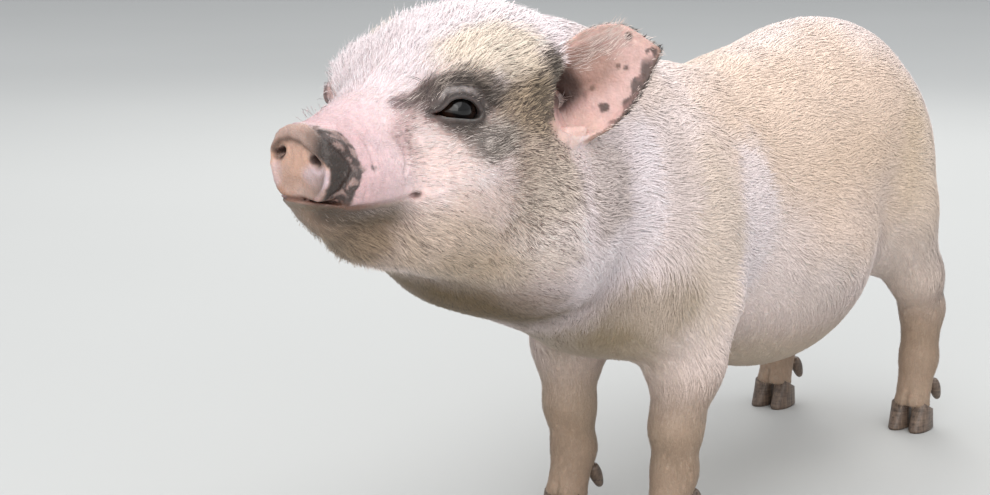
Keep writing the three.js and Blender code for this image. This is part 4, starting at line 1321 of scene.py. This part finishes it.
def body_growth(p, n):
    """The coat's density, length, width and lift before the face and the ears change them."""
    side, y, z = np.abs(p[:, 0]), p[:, 1], p[:, 2]
    density, length = np.interp(y, GROWTH_Y, DENSITIES), np.interp(y, GROWTH_Y, LENGTHS)
    under = faded(n[:, 2] + 0.35, 0.5)
    legs = faded(z - 92, 50) * (y > LEGS_BEGIN_Y)
    feet = faded(z - 36, 20)
    crown = faded(248 - z, 14) * (y < -96)
    chin = faded(z - 200, 12) * (y < -178)
    length = length * (1 - 0.35 * under) * (1 - 0.45 * legs) * (1 - 0.3 * feet) + 2.5 * crown + 2.5 * chin
    density = density * (1 - 0.35 * under * (y > LEGS_BEGIN_Y)) + 0.5 * crown + 0.5 * chin
    jaw = faded(z - 209, 2) * faded(y + 200, 12)
    lower_lip = faded(199 - z, 2) * faded(y + 231, 3) * faded(side - 14, 4)
    stubble = np.interp(y, [-250, -240, -225, -200], [0.2, 0.8, 1.2, 0.8])
    density, length = density + jaw * (1 - 0.9 * lower_lip) * stubble, length + 2.4 * jaw
    width = np.interp(length, [2, 6, 12], [0.17, 0.27, 0.46])
    lift = np.radians(np.interp(y, [-240, -200, -100, 0], [12, 11, 7, 3.5])) * (1 - 0.3 * legs)
    lift = lift + np.radians(22) * crown * faded(y + 125, 60) + np.radians(7) * chin
    return density, length, width, lift


def face_growth(p, density, length, width, lift):
    """Finer hair round the eyes, short hair on the lids, sparse lips and a bare snout and mouth."""
    side, y, z = np.abs(p[:, 0]), p[:, 1], p[:, 2]
    temple = np.exp(-((((side - 43) / 9) ** 2) + ((y + 128) / 14) ** 2 + ((z - 240) / 20) ** 2))
    length, lift = length * (1 - 0.45 * temple), lift * (1 - 0.6 * temple)
    mask = np.sqrt(((side - 36) / 17) ** 2 + ((y + 185) / 21) ** 2 + ((z - 243) / 16) ** 2)
    density, width = density * (1 - 0.35 * faded(mask - 1, 0.5)), width * (1 - 0.35 * faded(y + 160, 50))
    across, up, out, above, below = eye_place(*p.T)
    lid, away = np.maximum(above, below), np.hypot(across, up)
    brim = faded(np.maximum(above - 5.8, below - 2.6), 1.2)
    density = density * (1 - 0.65 * (np.abs(across + 1) < 12) * (out > -2) * brim)
    lash = (away < 16) & (out > -3) & (lid < 5)
    length = np.where(lash, np.minimum(length, 2.6), length)
    eye = (away < 17) & (out > -3) & (lid < 1.3)
    slot = (np.abs(z - mouth_line(y)) < 1.3) & (y < -222)
    upper_lip = (z > mouth_line(y)) & (z < mouth_line(y) + 5) & (y < -203)
    snout_face = faded(y + 238.5, 3) * faded(206 - z, 3)
    bare = eye | slot | (mouth_corner(side, y, z) < 2.6)
    density = np.where(bare, 0, density * (1 - snout_face) * np.where(upper_lip, 0.3, 1))
    return density, length, width, lift


def ear_growth(p, density, length, width, lift):
    """Short hair on the ears' backs, a fringe in their fronts and clear lobes."""
    on, inner, a, s, rim = ear_part(p)
    fringe = faded(6 - s, 8) * faded(9 - a, 6) * faded(a - 38, 8)
    sparse = 0.6 * fringe + 0.4 * faded(rim - 2.5, 2) * faded(20 - a, 6)
    density = np.where(inner > 0.5, sparse, density + (1.1 - density) * on)
    density = np.where((inner > 0.5) & (on < 0.3), 0, density)
    length = np.where(inner > 0.5, 2.6 + 5.5 * fringe, length + (4.2 - length) * on)
    lobe = lobe_distance(p)
    length = np.minimum(length, 1.2 + 0.4 * np.maximum(lobe - 3, 0))
    density = np.where((lobe < 3.6) & (a < 12), 0, 0.95 * density)
    density = density * (1 - 0.5 * on * faded(rim - 4, 3) * faded(4 - s, 8))
    width = np.where(np.maximum(on, inner) > 0.5, 0.26, width)
    return density, length, width, lift


def growth(p, n):
    """Tufts for each square millimetre, their length, width and lift."""
    return ear_growth(p, *face_growth(p, *body_growth(p, n)))


def roots():
    """Seeded points over the skin, at the coat's density, with the skin's normals there."""
    tri = np.vstack([skin_quads[:, [0, 1, 2]], skin_quads[:, [0, 2, 3]]])
    a, b, c = (skin_points[tri[:, k]] for k in range(3))
    area = np.linalg.norm(np.cross(b - a, c - a), axis=1) / 2
    normal = unit_rows(skin_normals[tri].sum(1))
    density = growth((a + b + c) / 3, normal)[0]
    count = np.floor(area * density * THIN_OUT + rng.random(len(tri))).astype(int)
    which = np.repeat(np.arange(len(tri)), count)
    s, t = rng.random((2, len(which)))
    over = s + t > 1
    s, t = np.where(over, 1 - s, s), np.where(over, 1 - t, t)
    weights = np.stack([1 - s - t, s, t], 1)[:, :, None]
    corner = tri[which]
    return (skin_points[corner] * weights).sum(1), unit_rows((skin_normals[corner] * weights).sum(1))


def raised(p, n, height):
    """Points moved along n until they are a height above the skin."""
    gap = skin_depth(*p.astype(F).T)
    return p + n * np.clip(height - gap, -4, 4)[:, None]


LEG_TOP = 92


def unwrapped(p):
    """Places on an unwrap of the body round its long axis, and of the legs below it."""
    middle = np.where(p[:, 1] < -90, 215, 165)
    around = np.arctan2(p[:, 0], middle - p[:, 2]) / (2 * math.pi) + 0.5
    hind = p[:, 1] > BETWEEN_LEGS_Y
    centre = np.where(hind, HIND_FOOT_Y, 0)
    turn = np.arctan2(np.abs(p[:, 0]) - stance_at(p[:, 1]), p[:, 1] - centre) / (2 * math.pi) + 0.5
    column = (p[:, 0] > 0) * 0.5 + hind * 0.25
    legs = (p[:, 2] < LEG_TOP) & (p[:, 1] > LEGS_BEGIN_Y)
    u = np.where(legs, column + 0.01 + 0.22 * turn, 0.005 + 0.99 * around)
    v = np.where(legs, 0.01 + 0.11 * p[:, 2] / LEG_TOP, 0.14 + 0.85 * (p[:, 1] + 262) / 600)
    return np.stack([u, v], 1)


# Place, radius, share of the tufts there, length, lift and heading.
LONG_HAIRS = [
    ((26, -201, 256), 7, 0.10, 12, 48, (0.1, -1, 0.5)),  # brow
    ((27, -198, 250), 5, 0.08, 9, 50, (0.6, -1, 0.2)),  # lashes
    ((8, -233, 243), 6, 0.25, 8, 60, (-0.3, -1, 0.6)),  # top of the snout
    ((18, -231, 236), 6, 0.2, 6, 50, (0.5, -1, 0.3)),  # side of the snout
    ((17, -240, 206), 7, 0.1, 5, 30, (0.5, 0.6, -1)),  # lip
    ((10, -230, 190), 10, 0.08, 6, 26, (0.2, 0.8, -1)),  # chin
    ((26, -210, 190), 12, 0.08, 10, 30, (0.3, 1, -0.6)),  # jaw
    ((10, 315, 150), 12, 0.6, 22, 8, None),  # tail tuft
]
LONG_HAIR_WIDTH = 0.22


def grow_long_hairs(p, n, way, length, width, lift):
    """Makes a share of the tufts near some places longer, and points them their own way."""
    for place, radius, share, long, angle, heading in LONG_HAIRS:
        near = np.linalg.norm(mirrored(p) - place, axis=1) < radius
        picked = np.nonzero(near & (rng.random(len(p)) < share))[0]
        length[picked] = long * rng.uniform(0.6, 1.1, len(picked))
        lift[picked] = np.radians(angle) * rng.uniform(0.6, 1.3, len(picked))
        width[picked] = LONG_HAIR_WIDTH
        if heading:
            toward = np.tile(unit(heading), (len(picked), 1))
            toward[:, 0] *= np.sign(p[picked, 0])
            toward = unit_rows(along_skin(toward, n[picked]))
            way[picked] = swung(toward, n[picked], rng.normal(0, 0.25, len(picked)))


def tuft_tints(p, clump):
    """The tufts' colours at their roots and at their tips."""
    hair, skin, dark_share = colours(p)
    is_dark = rng.random(len(p)) < dark_share * (1 + 0.5 * ripple(p, 12, 52))
    tint = blended(hair, rgb("332a23"), np.where(is_dark, rng.uniform(0.6, 1, len(p)), 0))
    tint = blended(tint, skin, 0.15 + 0.5 * faded(p[:, 1] + 214, 16))
    strands = 0.03 + 0.19 * faded(p[:, 1] + 95, 50) * (1 - skin.mean(1))
    shades = 1 + strands * rng.normal(0, 1, len(p)) + 0.03 * clump
    tint = tint * np.clip(shades, 0.65, 1.3)[:, None]
    return np.clip(tint, 0, 1), np.clip(blended(tint, hair, 0.3) * 1.08, 0, 1)


def leaves(p, n, way, length, width, lift, droop, tint, tip_tint):
    """Closed leaf-shaped tufts of five points, which follow the skin below them."""
    b = unit_rows(np.cross(n, way))
    rise = np.sin(lift) * length
    run = length * np.cos(lift)
    mid = p + way * (0.48 * length * np.cos(lift))[:, None] + n * (0.55 * rise)[:, None]
    mid = raised(mid, n, 0.55 * rise + 0.15)
    tip = raised(p + way * run[:, None] + n * rise[:, None], n, rise * (1 - droop) + 0.1)
    half = (width / 2)[:, None] * b
    points = np.stack([p - 0.4 * n, mid + half, mid + n * (0.15 * width)[:, None], mid - half, tip], 1)
    normals = np.stack([n, unit_rows(n + 0.35 * b), n, unit_rows(n - 0.35 * b), unit_rows(n + 0.2 * way)], 1)
    # The root is a little darker than the rest: painted shade at the base of each tuft.
    return points, np.stack([0.94 * tint, tint, tint, tint, tip_tint], 1), normals


def tufts(p, n):
    """Points, colours and normals of a tuft at each root."""
    _, length, width, lift = growth(p, n)
    clump = ripple(p, 7, 51)
    length = length * np.clip(rng.normal(1, 0.2, len(p)) + 0.12 * clump, 0.45, 1.6)
    lift = lift * np.clip(rng.normal(1, 0.35, len(p)) + 0.25 * clump, 0.3, 2.4)
    width = width * np.clip(rng.normal(1, 0.2, len(p)), 0.6, 1.5)
    way = lie(p, n)
    grow_long_hairs(p, n, way, length, width, lift)
    tint, tip_tint = tuft_tints(p, clump)
    droop = np.clip(rng.normal(0.45, 0.2, len(p)), 0, 0.9)
    return leaves(p, n, way, length, width, lift, droop, tint, tip_tint)


# The coat's pieces: bands along the body, then ears and legs.
BAND_ENDS = [-186, -160, -130, -96, -44, 20, 84, 150, 216, 292]
BANDS = ["muzzle", "eyes", "cheek", "nape", "neck", "shoulder", "chest", "flank", "loin", "rump", "tail"]
EAR, FORELEG, HINDLEG = 20, 21, 22
LEAF = np.array([(0, 3, 2), (0, 2, 1), (3, 4, 2), (2, 4, 1), (0, 1, 3), (1, 4, 3)])
LEAF_UV = np.array([(0, -1), (-0.7, 0), (0, 0), (0.7, 0), (0, 1)]) * 0.0015


def regions(p):
    """The number of the coat's piece at each root."""
    legs = (p[:, 2] < 96) & (p[:, 1] > LEGS_BEGIN_Y)
    leg = np.where(p[:, 1] > BETWEEN_LEGS_Y, HINDLEG, FORELEG)
    return np.where(ear_part(p)[0] > 0.4, EAR, np.where(legs, leg, np.digitize(p[:, 1], BAND_ENDS)))


def grow_coat():
    p, n = roots()
    points, tints, normals = tufts(p, n)
    region, root_uv = regions(p), unwrapped(p)
    titles = dict(enumerate(BANDS)) | {EAR: "ear", FORELEG: "foreleg", HINDLEG: "hindleg"}
    for number, title in titles.items():
        for side, sign in (("left", 1), ("right", -1)):
            pick = np.nonzero((region == number) & (np.sign(p[:, 0] + 1e-6) == sign))[0]
            if not len(pick):
                continue
            faces = (LEAF[None] + 5 * np.arange(len(pick))[:, None, None]).reshape(-1, 3)
            uv = (root_uv[pick][:, None, None] + LEAF_UV[LEAF][None]).reshape(-1, 2)
            placed(
                f"coat_{title}_{side}", points[pick].reshape(-1, 3), faces, "pig_coat",
                tints=tints[pick].reshape(-1, 3), uv=uv, normals=normals[pick].reshape(-1, 3),
            )


grow_coat()


# ---------- eyes ----------
EYE_ROWS, EYE_AROUND = 40, 56
CORNEA_RISE, CORNEA_ANGLE = 0.55, 0.5


def eyeball(name, side):
    """A ball with a raised cornea, which carries the angle away from its gaze."""
    points, gaze = [], []
    for i in range(EYE_ROWS + 1):
        angle = math.pi * i / EYE_ROWS
        cornea = CORNEA_RISE * math.exp(-((angle / CORNEA_ANGLE) ** 4))
        for j in range(EYE_AROUND):
            turn = 2 * math.pi * j / EYE_AROUND
            off = eye_across * math.cos(turn) + eye_up * math.sin(turn)
            d = eye_out * math.cos(angle) + math.sin(angle) * off
            p = EYE_CENTRE + d * (EYE_RADIUS - 0.3 + cornea)
            points.append((p[0] * side, p[1], p[2]))
            gaze.append(angle / math.pi * 1.6)
    index = np.arange(EYE_ROWS * EYE_AROUND).reshape(EYE_ROWS, EYE_AROUND)
    ahead = np.roll(index, -1, axis=1)
    faces = np.stack([index, index + EYE_AROUND, ahead + EYE_AROUND, ahead], 2).reshape(-1, 4)
    if side < 0:
        faces = faces[:, ::-1]
    node = name.replace("eyeball", "eye")
    placed(name, points, faces, "pig_eye", replaces=[node], floats={"gaze": gaze})


eyeball("eyeball_left", 1)
eyeball("eyeball_right", -1)


# ---------- claws ----------
def loft(rings):
    """Points and faces of a closed surface through rings of points, each end a fan of quads."""
    around = len(rings[0])
    points = np.vstack(rings)
    index = np.arange((len(rings) - 1) * around).reshape(-1, around)
    ahead = np.roll(index, -1, axis=1)
    faces = [np.stack([index, ahead, ahead + around, index + around], 2).reshape(-1, 4)]
    half = around // 2
    k = np.arange(half - 1)
    for start, turn in ((0, -1), ((len(rings) - 1) * around, 1)):
        quad = np.stack([start + k, start + k + 1, start + around - 2 - k, start + around - 1 - k], 1)
        faces.append(quad[:, ::turn])
    return points, np.vstack(faces)


CLAW_FORWARD = 2  # a claw's middle lies this far before the foot's


def claw(x, foot):
    """A flat-soled claw, whose top slopes with the coronet and whose front wall leans back."""
    rings = []
    for share in (0, 0.02, 0.06, 0.15, 0.3, 0.5, 0.7, 0.9, 1):
        ring = []
        for n in range(40):
            angle = 2 * math.pi * n / 40
            c, s = math.cos(angle), math.sin(angle)
            along = foot - CLAW_FORWARD + CLAW_LENGTH / 2 * s
            top = CORONET_HEIGHT + 1.4 - CORONET_SLOPE * (along - foot)
            height = share * top
            tread = 0.9 + 0.1 * min(share / 0.06, 1)
            narrow = 1 - 0.22 * max(-s, 0) ** 2
            reach = CLAW_LENGTH / 2 - (0.5 if s < 0 else 0.12) * height
            half = (CLAW_WIDTH / 2 - 0.02 * height) * narrow * tread
            px = x + half * math.copysign(abs(c) ** 0.75, c)
            py = foot - CLAW_FORWARD + tread * reach * math.copysign(abs(s) ** 0.9, s)
            ring.append((px, py, height))
        rings.append(ring)
    return loft(rings)


DEWCLAW_OUT, DEWCLAW_BEHIND, DEWCLAW_HEIGHT = 8.5, 14, 25
DEWCLAW_PITCH = math.radians(122)


def dewclaw(x, y):
    """A small blunt cone behind the foot, clear of the ground."""
    profile = spline([(0.4, -11, 0), (1.8, -10, 0), (3.2, -5, 0), (3.6, 1, 0), (2.6, 5, 0), (0.4, 6, 0)], 4)
    c, s = math.cos(DEWCLAW_PITCH), math.sin(DEWCLAW_PITCH)
    turn = np.linspace(0, 2 * math.pi, 24, endpoint=False)
    rings = []
    for radius, along, _ in profile:
        flat = radius * np.sin(turn)
        px, py = x + radius * np.cos(turn), y + c * along - s * flat
        rings.append(np.stack([px, py, DEWCLAW_HEIGHT + s * along + c * flat], 1))
    return loft(rings)


for side, name in ((1, "left"), (-1, "right")):
    fore = FORE_FOOT_Y + (RIGHT_FOOT_BACK if side < 0 else 0)
    for leg, stance, foot in (("fore", FORE_STANCE, fore), ("hind", HIND_STANCE, HIND_FOOT_Y)):
        for place, outward in (("outer", 1), ("inner", -1)):
            node = f"claw_{leg}_{name}_{place}"
            points, faces = claw((stance + outward * (CLAW_WIDTH + CLEFT) / 2) * side, foot)
            placed(node + "_horn", points, faces, "pig_horn", replaces=[node])
            points, faces = dewclaw((stance + outward * DEWCLAW_OUT) * side, foot + DEWCLAW_BEHIND)
            placed("dew" + node + "_horn", points, faces, "pig_horn", replaces=["dew" + node])


# ---------- floor, lights and camera ----------
def studio_floor():
    mesh = bpy.data.meshes.new("floor")
    mesh.from_pydata([(-20, -20, 0), (20, -20, 0), (20, 20, 0), (-20, 20, 0)], [], [(0, 1, 2, 3)])
    floor = bpy.data.objects.new("floor", mesh)
    bpy.context.scene.collection.objects.link(floor)
    node, feed = material("floor", Roughness=0.8)
    grain = node("ShaderNodeTexNoise", {"Scale": 30, "Detail": 3})
    ramp = node("ShaderNodeValToRGB", {"Fac": grain.outputs["Fac"]})
    ramp.color_ramp.elements[0].color = (0.46, 0.47, 0.46, 1)
    ramp.color_ramp.elements[1].color = (0.52, 0.53, 0.52, 1)
    feed("Base Color", ramp.outputs["Color"])
    mesh.materials.append(MATERIALS["floor"])


def studio_world():
    world = bpy.data.worlds.new("studio")
    bpy.context.scene.world = world
    world.use_nodes = True
    background = world.node_tree.nodes["Background"]
    background.inputs[0].default_value = (0.94, 0.96, 1.0, 1)
    background.inputs[1].default_value = 0.6


def softbox(name, place, aim, size, power, colour):
    """A round lamp at a place, aimed at a point, in metres and watts."""
    light = bpy.data.lights.new(name, "AREA")
    light.shape, light.size, light.energy, light.color = "DISK", size, power, colour
    made = bpy.data.objects.new(name, light)
    made.location = place
    made.rotation_euler = (Vector(aim) - Vector(place)).to_track_quat("-Z", "Y").to_euler()
    bpy.context.scene.collection.objects.link(made)


AZIMUTH, PITCH = math.radians(35), math.radians(10.8)
CAMERA_X, CAMERA_Y, CAMERA_Z = 493, -817, 335
SENSOR_WIDTH, FOCAL_LENGTH = 36, 68.727


def photo_camera():
    """The photo's camera: left of dead ahead by the azimuth, and looking down by the pitch."""
    level = math.cos(PITCH)
    forward = Vector((-math.sin(AZIMUTH) * level, math.cos(AZIMUTH) * level, -math.sin(PITCH)))
    camera = bpy.data.objects.new("camera", bpy.data.cameras.new("camera"))
    camera.location = (CAMERA_X / 1000, (SHIFT_Y + CAMERA_Y) / 1000, CAMERA_Z / 1000)
    camera.rotation_euler = forward.to_track_quat("-Z", "Y").to_euler()
    camera.data.sensor_width, camera.data.lens = SENSOR_WIDTH, FOCAL_LENGTH
    camera.data.clip_end = 60
    bpy.context.scene.collection.objects.link(camera)
    bpy.context.scene.camera = camera


studio_floor()
studio_world()
softbox("sky", (0.3, 0.3, 5), (0, 0, 0), 7.0, 220, (1, 0.99, 0.99))
softbox("key", (1.3, -1.5, 1.6), (0, -0.1, 0.15), 2.4, 20, (1, 0.98, 0.96))
softbox("fill", (0.7, -1.7, 0.45), (0, -0.1, 0.16), 1.6, 15, (1, 0.97, 0.94))
softbox("rim", (-0.9, 1.5, 1.3), (0, 0, 0.2), 1.0, 10, (1, 0.98, 0.95))
photo_camera()
bpy.context.scene.view_settings.view_transform = "Standard"
